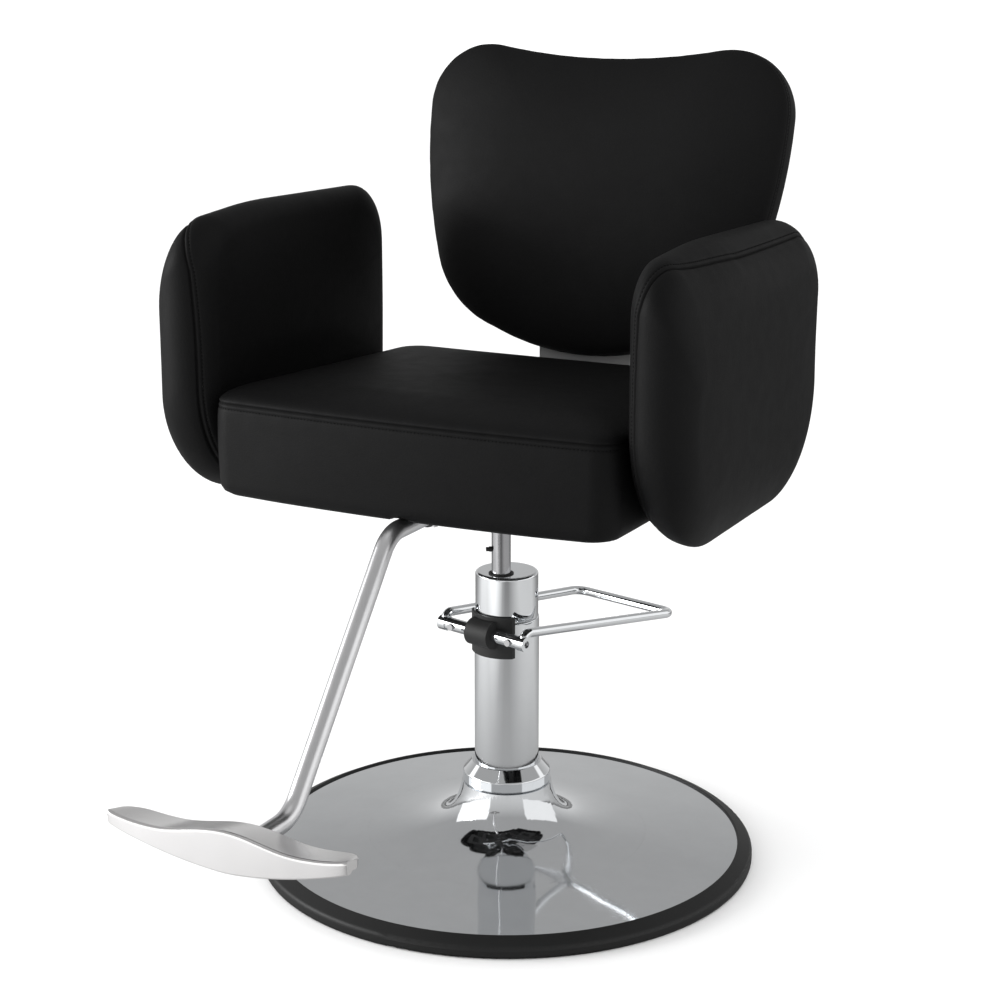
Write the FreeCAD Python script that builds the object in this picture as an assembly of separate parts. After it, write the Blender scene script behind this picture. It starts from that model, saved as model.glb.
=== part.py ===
import FreeCAD, Part
import math
import os

V = FreeCAD.Vector

# Hairdressing chair in millimetres. The origin is on the floor, on the axis of the round base.
# The chair faces -Y, +X is the sitter's left and +Z is up.

# Clearances
run_gap = 0.05          # radial gap of a shaft or slide that moves
soft_gap = 0.4          # gap round foam and rubber
bolt_gap = 0.3          # radial gap of a bolt in its hole

# Round base
base_radius = 300.0     # over the rubber rim
rim_height = 22.5
rim_edge = 13.5         # height of the outer edge, below the sloping top
rim_lip = 18.0          # width of rubber seen from above
rim_wall = 16.0
rim_round = 6.0         # upper outer edge of the rim
rim_foot_round = 4.0
rim_foot = 4.0          # thickness of the rim's lower lip
rim_tongue = 13.0       # reach of the lower lip under the plate
rim_lip_round = 1.2
plate_thickness = 8.0
disc_rise = 7.7         # the cover pan climbs this much towards the bell
sheet = 1.5
bell_foot = 170.0       # here the bell runs flush into the pan
bell_core = 45.0        # radius that the hollow flank closes in on
bell_power = 0.7        # the flank climbs with this power of the distance to the core
bell_height = 64.0      # flat top above the foot
bell_mouth = 46.0
bell_tongue = 8.0       # foot of the bell under the pan
collar_radius = 53.0
collar_height = 14.0
collar_slope = 13.0
collar_round = 3.0

# Pump column
column_radius = 38.8
sleeve_wall = 1.8
flange_radius = 62.0
flange_thickness = 12.0
flange_bolt_circle = 50.0
flange_round = 4.0
sleeve_length = 238.0
band_rise = 12.8        # bright band of the pump head above the rocker axis
band_round = 1.5
cap_height = 55.5
cap_step = 1.2          # the cap is this much slimmer than the column
cap_wall = 2.0
cap_round = 3.5
cap_hole = 15.0
cylinder_bore = 16.0
cylinder_floor = 18.0

# Ram and its journal
ram_offset = 15.0       # the ram stands in front of the column axis
ram_radius = 11.4
journal_radius = 10.4
ram_bottom = 112.0
shoulder_drop = 4.0     # shoulder of the ram below the hub
piston_height = 24.0
piston_floor = 2.0
seal_width = 3.0
seal_depth = 2.2
bush_wall = 3.0
bush_length = 40.0
stop_pin_rise = 30.5    # stop pin above the cap
stop_pin_radius = 2.6
stop_pin_reach = 18.0
stop_pin_turn = 217.0   # heading of the pin, degrees from +X
stop_pin_depth = 6.0    # pin inside the ram
stop_pin_collar = 2.4
lock_groove = 2.2       # depth of the groove that keeps the hub on the ram
lock_groove_half = 3.2
lock_rise = 14.0        # lock screw above the hub's lower end
lock_gap = 0.6          # tip of the lock screw to the floor of its groove
wiper_rise = 1.0

# Rocker and foot pedal
pedal_turn = 14.2       # the pedal points this far from straight back
rocker_reach = 42.0     # rocker axis in front of the column axis
rocker_height = 288.2
shaft_radius = 6.0
sleeve_radius = 8.0
shaft_half = 56.0
boot_half = 17.0
boot_radius = 16.3
boot_wall = 3.0
boot_flange_half = 32.0
boot_flange_low = 29.5   # flange below the rocker axis
boot_flange_high = 20.8  # flange above the rocker axis
ear_inner = 8.5
ear_thickness = 5.5
ear_radius = 12.6
rocker_bush_wall = 2.0
lever_half = 6.0
lever_radius = 7.4
lever_reach = 12.0
lever_thickness = 6.0
lever_gap = 0.5          # finger of the lever to the plunger at rest
pocket_gap = 1.5
eye_radius = 9.0
eye_width = 11.0
eye_bore = 4.2
end_screw_radius = 4.0
end_screw_depth = 14.0
end_screw_recess = 2.0
end_screw_socket = 2.4
sleeve_hole = 2.2        # radius of the cross hole near the boot
sleeve_hole_place = 9.0  # from the inner end of the sleeve
set_screw_place = 11.0   # from the outer end of the sleeve
set_screw_head = 4.3
set_screw_rise = 2.5
wire_radius = 5.6
wire_rise = 12.5         # leg of the loop above the rocker axis
wire_bend = 9.0          # bend where a leg leaves its eye
pedal_length = 274.0
pedal_half = 76.0        # half width at the foot bar
pedal_slope = 7.8
pedal_bend = 15.0
plunger_radius = 3.2
plunger_length = 15.0
plunger_head = 5.0
plunger_neck = 2.6
plunger_core = 2.2       # radius inside the seal groove
plunger_seal_rise = 6.0
plunger_seal_width = 2.0
spring_length = 10.0
spring_wire = 0.7
spring_turns = 4
spring_gap = 0.3         # coil to the wall of its well

# Swivel hub and seat frame
hub_radius = 19.0
hub_rise = 57.5         # lower end of the hub above the cap
hub_length = 54.0
hub_flange_radius = 52.0
hub_flange = 8.0
hub_round = 2.0
hub_bolt_circle = 40.0
hub_bush_wall = 2.3
washer_thickness = 2.0
frame_thickness = 6.0
frame_half_width = 150.0
frame_front = -200.0
frame_back = 132.0
frame_corner = 24.0
frame_window = 70.0      # width of a window in the frame
frame_web = 26.0         # steel left round a window
window_corner = 10.0
bracket_thickness = 5.0

# Seat
seat_half_width = 247.0
seat_front = -266.0
seat_back = 186.0
seat_front_bow = 13.0
seat_side_bow = 2.0
seat_corner = 27.0
seat_drop = 5.0          # skirt of the cushion below the board
seat_side_height = 107.0  # from the skirt up to the front seam
seat_fall = 17.0         # the top is this much lower at the rear
seat_edge_roll = 12.0
seat_draw_in = 1.0
seat_crown = 19.0
seat_crown_reach = 95.0
board_thickness = 12.0
board_inset = 30.0
liner_thickness = 1.0

# Arms
arm_width = 76.0
arm_front = -254.0
arm_back = 184.0
arm_drop = 16.5          # lowest line of the pads below the top of the frame
arm_rise = 307.0         # highest line of the pads above the top of the frame
arm_peak = -110.0        # place of the highest point, front to back
arm_peak_round = 800.0
arm_front_fall = 10.0    # the top is this much lower at the front
arm_fall = 15.0          # and this much at the rear
arm_bulge = 10.0         # the rear edge swells out by this much
arm_bulge_rise = 206.0   # above the top of the frame
arm_bulge_round = 110.0
arm_front_corner = 60.0
arm_back_corner = 78.0
arm_toe_corner = 95.0
arm_heel_corner = 80.0
arm_ridge = 22.0         # highest line of the top from the inner face
arm_ridge_roll = 26.0    # the top rolls down this far at the inner face
arm_crown_drop = 150.0   # and this far at the outer face
arm_rear_drop = 75.0     # where it is boxier at the rear
arm_keel = 39.0          # lowest line of the underside from the inner face
arm_keel_roll = 26.0     # the underside rolls up this far at the inner face
arm_belly_rise = 120.0   # and this far at the outer face
arm_nose = 37.0          # foremost line of the front from the inner face
arm_nose_roll = 38.0     # the front rolls back this far at either face
arm_flat = 1.5           # the rolls stop this far before they turn edge on
core_thickness = 18.0
core_depth = 150.0
core_length = 250.0
core_place = 27.0        # middle of the core from the inner face
bracket_inner_width = 120.0
bracket_outer_width = 210.0
bracket_inner_edge = 96.0
bracket_margin = 14.0    # bracket beyond the middle of the core
arm_bolt_spread = 70.0
arm_bolt_depth = 30.0
bracket_corner = 15.0
bracket_slot_half = 22.0
bracket_slot_length = 86.0
bracket_bolt_inset = 16.0

# Back
back_lean = 12.4
back_foot_y = 211.0      # middle plane at the lowest point of the back
back_foot_rise = 94.0    # that point above the top of the frame
back_half_width = 243.0
back_height = 386.0
back_peak = 164.0        # peaks of the top edge from the middle
back_dip_angle = 10.2
back_side_radius = 635.0
back_side_turn = 19.2
back_bottom_radius = 320.0
back_bottom_turn = 22.8
back_pad_rear = 20.0     # pad behind its middle plane
back_pad_edge = 14.0     # straight boxing in front of it
back_pad_crown = 22.0
back_crown_reach = 150.0
back_panel_thickness = 7.0
back_panel_roll = 16.0
back_board_thickness = 12.0
back_board_scale = 0.8
bracket_width = 124.0
back_bracket_thickness = 6.0
back_bracket_bend = 18.0
back_bracket_start = 48.0
back_bracket_reach = 170.0  # up into the pad
back_bolt_half = 28.0
back_bolt_low = 60.0
back_bolt_high = 130.0
back_bolt_head = 3.0
back_lean_start = 12.0   # the bracket leans with the back from here
back_lean_bend = 40.0
back_bend_room = 3.0     # the slot is deeper here for the bend
back_bracket_bolt = 14.0  # bolts from the ends of the flat part
back_draw_in = 2.5
panel_inset = 5.0

# Footrest
tube_radius = 10.2
tube_wall = 2.0
tube_bend = 45.0
tube_slope = 49.9
footrest_height = 226.0
footrest_elbow = -486.0     # lower corner of the tube's path
bar_rear = -557.0
bar_depth = 51.0            # rear edge to front face
bar_half = 137.0
bar_ridge = 259.0
bar_gull = 11.0
bar_tip_rise = 6.0
bar_fall = 12.0             # rear of the tread below the ridge
bar_tip_fall = 5.0
bar_tread = 7.0
bar_tip_tread = 9.0
bar_wall = 7.0
fascia_middle = 47.0
fascia_tip = 15.0
fascia_curve = 1.6
bar_rear_inset = 12.0
bar_tip_length = 0.2        # rounded end of the bar, as a share of the half width
bar_tip_round = 3.0         # rounding at the front
bar_tip_sweep = 20.0        # and at the rear
bar_tip_fill = 3.0          # the hollow under the tread closes this much at the ends
boss_radius = 12.6
boss_reach = 4.0            # boss behind the rear edge of the tread
socket_wall = 2.8
socket_wing = 34.0          # half width of the flange under the frame
socket_wing_thickness = 4.0
socket_bolt_inset = 10.0
socket_bolt_end = 20.0
tube_seat = 24.0            # tube inside the boss of the bar
foot_screw_first = 18.0
foot_screw_pitch = 24.0
bar_screw_place = 12.0
bar_lean = 5.0              # the fascia's foot lies this far back
bar_round = 2.2
bar_ridge_round = 3.0
bar_gull_share = 0.6        # lowest place of the ridge, as a share of the half width
socket_front = -198.0
socket_back = -78.0
insertion = 60.0            # length of tube inside the socket

# Fasteners
small_bolt = 4.0
large_bolt = 5.0
screw_radius = 2.5

# Places worked out from the sizes
up = V(0, 0, 1)
origin = V(0, 0, 0)
floor_top = plate_thickness
flange_top = floor_top + flange_thickness
sleeve_top = flange_top + sleeve_length
band_top = rocker_height + band_rise
cap_top = band_top + cap_height
hub_low = cap_top + hub_rise
ram_top = hub_low + hub_length
pan_radius = base_radius - rim_wall - run_gap
pan_edge_z = rim_height - 2 * sheet
ram_place = V(0, -ram_offset, 0)
cap_radius = column_radius - cap_step
head_radius = cap_radius - cap_wall - run_gap
hub_top = ram_top + washer_thickness
hub_face = hub_top + hub_flange
frame_top = hub_face + frame_thickness
bracket_low = hub_face - bracket_thickness
seat_skirt = frame_top - seat_drop
seat_seam = seat_skirt + seat_side_height
seat_side = seat_half_width + seat_side_bow
arm_inner = seat_side + soft_gap
arm_bottom = frame_top - arm_drop
arm_top = frame_top + arm_rise
back_foot_z = frame_top + back_foot_rise
tube_height = frame_top - tube_radius - socket_wall
lean = math.radians(back_lean)


# Helpers
def corner_path(corners, closed=True):
    # Straight edges through (point, radius) pairs, with a tangent arc at each rounded corner.
    count = len(corners)
    cuts = []
    for i, (here, radius) in enumerate(corners):
        if radius == 0:
            cuts.append((here, None, here))
            continue
        back = (corners[i - 1][0] - here).normalize()
        ahead = (corners[(i + 1) % count][0] - here).normalize()
        half = math.acos(max(-1.0, min(1.0, back.dot(ahead)))) / 2
        setback = radius / math.tan(half)
        middle_line = (back + ahead).normalize()
        middle = here + middle_line * (radius / math.sin(half) - radius)
        cuts.append((here + back * setback, middle, here + ahead * setback))
    edges = []
    for i, (start, middle, end) in enumerate(cuts):
        if middle is not None:
            edges.append(Part.Arc(start, middle, end).toShape())
        if i + 1 < count or closed:
            following = cuts[(i + 1) % count][0]
            if (following - end).Length > 1e-6:
                edges.append(Part.LineSegment(end, following).toShape())
    return Part.Wire(edges)


def flat_corners(points, place):
    return [(place(p[0], p[1]), p[2] if len(p) > 2 else 0) for p in points]


def turned(points):
    # Body of revolution about Z from (radius, height, rounding) points.
    wire = corner_path(flat_corners(points, lambda r, z: V(r, 0, z)))
    return Part.Face(wire).revolve(origin, up, 360)


def plate(points, low, height):
    wire = corner_path(flat_corners(points, lambda x, y: V(x, y, low)))
    return Part.Face(wire).extrude(up * height)


def grown(points, gap):
    # Outline moved away from the middle by the gap.
    return [(x + math.copysign(gap, x), y + math.copysign(gap, y), r) for x, y, r in points]


def rod(radius, start, end):
    return Part.makeCylinder(radius, (end - start).Length, start, end - start)


def ring(outer, inner, start, end):
    return rod(outer, start, end).cut(rod(inner, start, end))


def upright(radius, spot, low, high):
    return rod(radius, spot + up * low, spot + up * high)


def upright_ring(outer, inner, spot, low, high):
    return ring(outer, inner, spot + up * low, spot + up * high)


def drilled(shape, radius, spots, low, high):
    for spot in spots:
        shape = shape.cut(upright(radius + bolt_gap, spot, low, high))
    return shape


def circle_of(radius, turns):
    return [V(radius * math.cos(math.radians(a)), radius * math.sin(math.radians(a)), 0) for a in turns]


def swept(corners, radius, bore=0):
    path = corner_path(corners, closed=False)
    start = corners[0][0]
    heading = corners[1][0] - start
    tube = path.makePipeShell([Part.Wire(Part.makeCircle(radius, start, heading))], True, False)
    if bore:
        hollow = path.makePipeShell([Part.Wire(Part.makeCircle(bore, start, heading))], True, False)
        tube = tube.cut(hollow)
    return tube


def hexagon(radius, centre, heading, height):
    # Hexagonal prism with its corners on the given radius.
    spots = [math.radians(60 * i) for i in range(6)]
    corners = [V(radius * math.cos(a), radius * math.sin(a), 0) for a in spots]
    head = Part.Face(Part.makePolygon(corners + corners[:1])).extrude(up * height)
    head.Placement = FreeCAD.Placement(centre, FreeCAD.Rotation(up, heading))
    return head


def bolt(radius, under_head, tip):
    # Hexagon head outside under_head, shank from there to the tip.
    heading = (tip - under_head).normalize()
    head_height = 1.3 * radius
    head = hexagon(1.9 * radius, under_head - heading * head_height, heading, head_height)
    return head.fuse(rod(radius, under_head, tip))


def quarter_roll(depth, reach, angles):
    # Quarter ellipse: distance out and inset for each angle.
    turns = [math.radians(a) for a in angles]
    return [(depth * math.sin(a), reach * (1 - math.cos(a))) for a in turns]


def pump_turned(shape):
    # Pieces of the rocker are drawn with the pedal straight back, then turned with the pump.
    return shape.rotated(origin, up, -pedal_turn)


def mirrored(shape):
    return shape.mirror(origin, V(1, 0, 0))


def save(name, *solids):
    shape = solids[0] if len(solids) == 1 else Part.makeCompound(list(solids))
    shape.exportStep("parts/" + name + ".step")


os.makedirs("parts", exist_ok=True)

# Rubber rim, a channel that grips the edge of the plate and the pan
groove_low = rim_foot
groove_high = pan_edge_z + run_gap
lip_inner = base_radius - rim_lip
tongue_inner = base_radius - rim_wall - rim_tongue
groove_radius = base_radius - rim_wall
edge_ring = turned([
    (tongue_inner, 0),
    (base_radius, 0, rim_foot_round),
    (base_radius, rim_edge, rim_round),
    (lip_inner, rim_height, rim_lip_round),
    (lip_inner, groove_high),
    (groove_radius, groove_high),
    (groove_radius, groove_low),
    (tongue_inner, groove_low),
])
save("edge_ring", edge_ring)

# Steel plate, rebated for the rim's lower lip
quarter_turns = (45, 135, 225, 315)
flange_points = circle_of(flange_bolt_circle, quarter_turns)
base_plate = turned([
    (0, 0),
    (tongue_inner - run_gap, 0),
    (tongue_inner - run_gap, rim_foot),
    (pan_radius, rim_foot),
    (pan_radius, floor_top),
    (0, floor_top),
])
save("base_plate", drilled(base_plate, large_bolt, flange_points, rim_foot, floor_top))

# Chrome pan with a turned-down edge
brim = lip_inner - sheet
disc_bore = bell_foot + run_gap
pan_slope = disc_rise / (brim - disc_bore)


def pan_height(radius):
    return pan_edge_z + pan_slope * (brim - radius)


base_disc = turned([
    (pan_radius - sheet, floor_top),
    (pan_radius, floor_top),
    (pan_radius, pan_edge_z, sheet),
    (brim, pan_edge_z),
    (disc_bore, pan_height(disc_bore)),
    (disc_bore, pan_height(disc_bore) - sheet),
    (brim, pan_edge_z - sheet),
    (pan_radius - sheet, pan_edge_z - sheet),
])
save("base_disc", base_disc)

# Chrome bell over the pump flange: a hollow flank that runs into the pan, and a skirt on the plate
bell_low = pan_height(bell_foot)
bell_top = bell_low + bell_height
bell_span = bell_foot - bell_core
bell_scale = pan_slope * bell_span / bell_power


def bell_flank(skin):
    # Smooth line from the foot to the waist, set in by the skin along its normal.
    spots = []
    for i in range(25):
        rise = bell_height * (i / 24) ** 2
        ratio = 1 + rise / bell_scale
        radius = bell_core + bell_span / ratio ** (1 / bell_power)
        slope = pan_slope * (bell_span / (radius - bell_core)) ** (1 + bell_power)
        long = math.hypot(1, slope)
        spots.append(V(radius - skin * slope / long, 0, bell_low + rise - skin / long))
    flank = Part.BSplineCurve()
    flank.interpolate(spots)
    return spots[0], flank.toShape(), spots[-1]


def bell_form(skin):
    # Body under the flank from the plate to the top.
    foot, flank, waist = bell_flank(skin)
    corners = [waist, V(0, 0, waist.z), V(0, 0, floor_top), V(foot.x, 0, floor_top), foot]
    edges = [Part.LineSegment(p, q).toShape() for p, q in zip(corners, corners[1:])]
    return Part.Face(Part.Wire([flank] + edges)).revolve(origin, up, 360)


tongue_radius = bell_foot + bell_tongue
tongue_high = pan_height(tongue_radius) - sheet - run_gap
skirt_inner = bell_foot - sheet
bell_skirt = turned([
    (skirt_inner, floor_top),
    (bell_foot, floor_top),
    (bell_foot, tongue_high - sheet),
    (tongue_radius, tongue_high - sheet),
    (tongue_radius, tongue_high),
    (bell_foot, tongue_high),
    (bell_foot, bell_low - sheet / 2),
    (skirt_inner, pan_height(skirt_inner) - sheet / 2),
])
bell = bell_form(0).cut(bell_form(sheet)).fuse(bell_skirt).cut(rod(bell_mouth, origin, up * 2 * bell_top))
save("dome_cover", bell)

# Chrome collar between the bell and the column
collar_bore = column_radius + run_gap
collar_top = bell_top + collar_height
collar_ring = turned([
    (collar_bore, bell_top),
    (collar_radius, bell_top, collar_round),
    (collar_radius, collar_top, collar_round),
    (collar_bore + collar_round, collar_top + collar_slope, collar_round / 2),
    (collar_bore, collar_top + collar_slope),
])
save("collar_ring", collar_ring)

# Pump cylinder with its flange, eccentric bore and plunger well
cylinder_radius = column_radius - sleeve_wall - run_gap
plunger_spot = V(0, -rocker_reach + lever_reach - plunger_neck, 0)
plunger_top = rocker_height - lever_thickness / 2 - lever_gap
plunger_low = plunger_top - plunger_length
well_floor = plunger_low - spring_length
pump_cylinder = turned([
    (0, floor_top),
    (flange_radius, floor_top),
    (flange_radius, flange_top, flange_round),
    (cylinder_radius, flange_top),
    (cylinder_radius, sleeve_top),
    (0, sleeve_top),
])
bore_low = flange_top + cylinder_floor
pump_cylinder = pump_cylinder.cut(upright(cylinder_bore, ram_place, bore_low, sleeve_top))
plunger_well = pump_turned(upright(plunger_radius + run_gap, plunger_spot, well_floor, rocker_height))
save("pump_cylinder", drilled(pump_cylinder, large_bolt, flange_points, floor_top, flange_top))
flange_bolts = [bolt(large_bolt, spot + up * flange_top, spot + up * rim_foot) for spot in flange_points]
save("flange_bolts", *flange_bolts)

# Chrome sleeve over the cylinder
sleeve = ring(column_radius, column_radius - sleeve_wall, up * flange_top, up * sleeve_top)
save("cylinder_sleeve", sleeve)

# Pump head: bright band, neck inside the cap, and two ears that carry the rocker
head_top = cap_top - cap_wall
rocker_axis = V(0, -rocker_reach, rocker_height)
side = V(1, 0, 0)
ear_outer = ear_inner + ear_thickness
pump_head = turned([
    (0, sleeve_top),
    (column_radius, sleeve_top),
    (column_radius, band_top, band_round),
    (head_radius, band_top),
    (head_radius, head_top),
    (0, head_top),
])
ear_block = Part.makeBox(2 * ear_outer, rocker_reach, 2 * ear_radius,
                         V(-ear_outer, -rocker_reach, rocker_height - ear_radius))
ears = rod(ear_radius, rocker_axis - side * ear_outer, rocker_axis + side * ear_outer).fuse(ear_block)
ears = ears.cut(rod(head_radius - cap_wall, origin, up * cap_top))
pocket_back = -rocker_reach + lever_reach + pocket_gap
pocket_low = rocker_height - lever_radius - pocket_gap
pocket_high = rocker_height + ear_radius
pocket = Part.makeBox(2 * ear_inner, boot_radius + rocker_reach + pocket_back, pocket_high - pocket_low,
                      V(-ear_inner, -rocker_reach - boot_radius, pocket_low))
pump_head = pump_turned(pump_head.fuse(ears).cut(pocket))
rocker_bore = shaft_radius + run_gap + rocker_bush_wall
far_side = side * 2 * ear_outer
pump_head = pump_head.cut(pump_turned(rod(rocker_bore, rocker_axis - far_side, rocker_axis + far_side)))
bush_low = head_top - bush_length
bush_outer = ram_radius + run_gap + bush_wall
pump_head = pump_head.cut(upright(ram_radius + soft_gap, ram_place, sleeve_top, bush_low))
pump_head = pump_head.cut(upright(bush_outer, ram_place, bush_low, head_top))
pump_head = pump_head.cut(plunger_well)
save("pump_head", pump_head)

# Chrome cap, a cup with rounded rims and an eccentric hole for the ram
cap_low = band_top + run_gap
head_cap = turned([
    (0, cap_top),
    (cap_radius, cap_top, cap_round),
    (cap_radius, cap_low, cap_wall / 2),
    (cap_radius - cap_wall, cap_low),
    (cap_radius - cap_wall, head_top),
    (0, head_top),
])
head_cap = head_cap.cut(upright(cap_hole, ram_place, band_top, cap_top))
save("head_cap", head_cap)

# Guide bush and wiper round the ram
ram_bush = upright_ring(bush_outer - run_gap, ram_radius + run_gap, ram_place, bush_low, head_top)
save("ram_bush", ram_bush)
wiper_top = cap_top + wiper_rise
wiper = upright_ring(cap_hole - run_gap, ram_radius + soft_gap / 2, ram_place, head_top, wiper_top)
save("ram_wiper", wiper)

# Rubber boot over the ears, with a saddle flange on the column
flange_low_z = rocker_height - boot_flange_low
flange_high_z = rocker_height + boot_flange_high
saddle_inner = column_radius + run_gap
saddle = ring(saddle_inner + boot_wall, saddle_inner, up * flange_low_z, up * flange_high_z)
saddle = saddle.common(Part.makeBox(2 * boot_flange_half, 2 * column_radius, flange_high_z - flange_low_z,
                                    V(-boot_flange_half, -2 * column_radius, flange_low_z)))
nose = rod(boot_radius, rocker_axis - side * boot_half, rocker_axis + side * boot_half)
bridge = Part.makeBox(2 * boot_half, rocker_reach, 2 * boot_radius,
                      V(-boot_half, -rocker_reach, rocker_height - boot_radius))
boot = saddle.fuse(nose).fuse(bridge).cut(rod(saddle_inner, origin, up * cap_top))
hollow_half = ear_outer + soft_gap
hollow_radius = ear_radius + soft_gap
hollow = rod(hollow_radius, rocker_axis - side * hollow_half, rocker_axis + side * hollow_half)
hollow = hollow.fuse(Part.makeBox(2 * hollow_half, rocker_reach, 2 * hollow_radius,
                                  V(-hollow_half, -rocker_reach, rocker_height - hollow_radius)))
boot = boot.cut(hollow)
shaft_room = side * 2 * boot_half
boot = boot.cut(rod(shaft_radius + soft_gap, rocker_axis - shaft_room, rocker_axis + shaft_room))
for hand in (-1, 1):
    boot = boot.cut(rod(sleeve_radius + soft_gap, rocker_axis + side * hand * boot_half,
                        rocker_axis + side * hand * 2 * boot_half))
save("rocker_boot", pump_turned(boot))

# Bushes in the two ears
rocker_bushes = []
for hand in (-1, 1):
    start = rocker_axis + side * hand * ear_inner
    end = rocker_axis + side * hand * ear_outer
    rocker_bushes.append(pump_turned(ring(rocker_bore - run_gap, shaft_radius + run_gap, start, end)))
save("rocker_bushes", *rocker_bushes)

# Rocker shaft, its lever and the two sleeves that hold the loop
shaft = rod(shaft_radius, rocker_axis - side * shaft_half, rocker_axis + side * shaft_half)
for hand in (-1, 1):
    tip = rocker_axis + side * hand * shaft_half
    tap_floor = tip - side * hand * (end_screw_depth + bolt_gap)
    shaft = shaft.cut(rod(end_screw_radius + run_gap, tip, tap_floor))
save("rocker_shaft", pump_turned(shaft))

lever = rod(lever_radius, rocker_axis - side * lever_half, rocker_axis + side * lever_half)
finger = Part.makeBox(2 * lever_half, lever_reach, lever_thickness,
                      V(-lever_half, -rocker_reach, rocker_height - lever_thickness / 2))
lever = lever.fuse(finger)
lever = lever.cut(rod(shaft_radius, rocker_axis - side * lever_half, rocker_axis + side * lever_half))
save("rocker_lever", pump_turned(lever))

sleeve_start = boot_half + soft_gap
hole_place = sleeve_start + sleeve_hole_place
screw_place = shaft_half - set_screw_place
front = V(0, -1, 0)
through = front * 2 * sleeve_radius
set_screws = []
for hand, name in ((-1, "rocker_sleeve_left"), (1, "rocker_sleeve_right")):
    start = rocker_axis + side * hand * sleeve_start
    end = rocker_axis + side * hand * shaft_half
    hand_sleeve = ring(sleeve_radius, shaft_radius + run_gap, start, end)
    hole = rocker_axis + side * hand * hole_place
    hand_sleeve = hand_sleeve.cut(rod(sleeve_hole, hole, hole + through))
    seat_point = rocker_axis + side * hand * screw_place
    hand_sleeve = hand_sleeve.cut(rod(screw_radius + bolt_gap, seat_point, seat_point + through))
    save(name, pump_turned(hand_sleeve))
    screw_tip = seat_point + front * (shaft_radius + run_gap)
    head_low = seat_point + front * (sleeve_radius + run_gap)
    head_high = head_low + front * set_screw_rise
    screw = rod(screw_radius, screw_tip, head_high)
    head = rod(set_screw_head, head_low, head_high)
    set_screws.append(pump_turned(screw.fuse(head)))
save("sleeve_set_screws", *set_screws)

# Foot loop: one bent rod with an eye at each end, drawn level and then tilted about the rocker
eye_middle = shaft_half + eye_width / 2
far = pedal_length
loop_corners = [
    (V(-eye_middle, 0, 0), 0),
    (V(-eye_middle, 0, wire_rise), wire_bend),
    (V(-pedal_half, far, wire_rise), pedal_bend),
    (V(pedal_half, far, wire_rise), pedal_bend),
    (V(eye_middle, 0, wire_rise), wire_bend),
    (V(eye_middle, 0, 0), 0),
]
loop = swept(loop_corners, wire_radius)
end_screws = []
for hand in (-1, 1):
    inner = side * hand * shaft_half
    outer = side * hand * (shaft_half + eye_width)
    loop = loop.fuse(rod(eye_radius, inner, outer))
for hand in (-1, 1):
    inner = side * hand * shaft_half
    outer = side * hand * (shaft_half + eye_width)
    loop = loop.cut(rod(eye_bore, inner, outer + side * hand * eye_width))
    face = outer - side * hand * end_screw_recess
    screw = rod(end_screw_radius, inner - side * hand * end_screw_depth, face)
    end_screws.append(screw.cut(hexagon(end_screw_socket, face, side * -hand, end_screw_socket)))


def tilted(shape):
    return pump_turned(shape.rotated(origin, side, -pedal_slope).translated(rocker_axis))


save("pedal_loop", tilted(loop))
save("pedal_end_screws", *[tilted(screw) for screw in end_screws])

# Pump plunger, its seal and the return spring under it
groove_low = plunger_low + plunger_seal_rise
groove_high = groove_low + plunger_seal_width
plunger = upright(plunger_radius, plunger_spot, plunger_low, plunger_top - plunger_head)
plunger = plunger.fuse(upright(plunger_neck, plunger_spot, plunger_low, plunger_top))
seal_groove = upright_ring(2 * plunger_radius, plunger_core, plunger_spot, groove_low, groove_high)
save("pump_plunger", pump_turned(plunger.cut(seal_groove)))
plunger_seal = upright_ring(plunger_radius, plunger_core, plunger_spot, groove_low, groove_high)
save("plunger_seal", pump_turned(plunger_seal))
coil_radius = plunger_radius - spring_wire - spring_gap
spring_rise = spring_length - 2 * spring_wire - run_gap


def coil_point(turn):
    angle = 2 * math.pi * turn
    height = spring_rise * turn / spring_turns
    return V(coil_radius * math.cos(angle), coil_radius * math.sin(angle), height)


quarters = [i / 4 for i in range(4 * spring_turns)]
bends = [Part.Arc(coil_point(q), coil_point(q + 1 / 8), coil_point(q + 1 / 4)) for q in quarters]
coil = Part.Wire([bend.toShape() for bend in bends])
section = Part.Wire(Part.makeCircle(spring_wire, coil_point(0), coil.Edges[0].tangentAt(0)))
spring = coil.makePipeShell([section], True, False)
spring = spring.translated(plunger_spot + up * (well_floor + spring_wire))
save("plunger_spring", pump_turned(spring))

# Ram with a thicker lower part, a journal for the chair and a groove for the lock screw
lock_z = hub_low + lock_rise
ram_shoulder = hub_low - shoulder_drop
stop_pin_height = cap_top + stop_pin_rise
ram = rod(ram_radius, up * ram_bottom, up * ram_shoulder)
ram = ram.fuse(rod(journal_radius, up * ram_shoulder, up * ram_top))
groove_floor = journal_radius - lock_groove
lock_band = (lock_z - lock_groove_half, lock_z + lock_groove_half)
ram = ram.cut(upright_ring(2 * journal_radius, groove_floor, origin, *lock_band))
pin_heading = circle_of(1, [stop_pin_turn])[0]
pin_root = up * stop_pin_height + pin_heading * (ram_radius - stop_pin_depth)
pin_tip = up * stop_pin_height + pin_heading * stop_pin_reach
ram = ram.cut(rod(stop_pin_radius, pin_root, pin_tip))
stop_pin = rod(stop_pin_radius, pin_root, pin_tip)
pin_collar = up * stop_pin_height + pin_heading * (ram_radius + soft_gap)
stop_pin = stop_pin.fuse(rod(1.25 * stop_pin_radius, pin_collar, pin_collar + pin_heading * stop_pin_collar))
save("ram", ram.translated(ram_place))
save("stop_pin", stop_pin.translated(ram_place))

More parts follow.
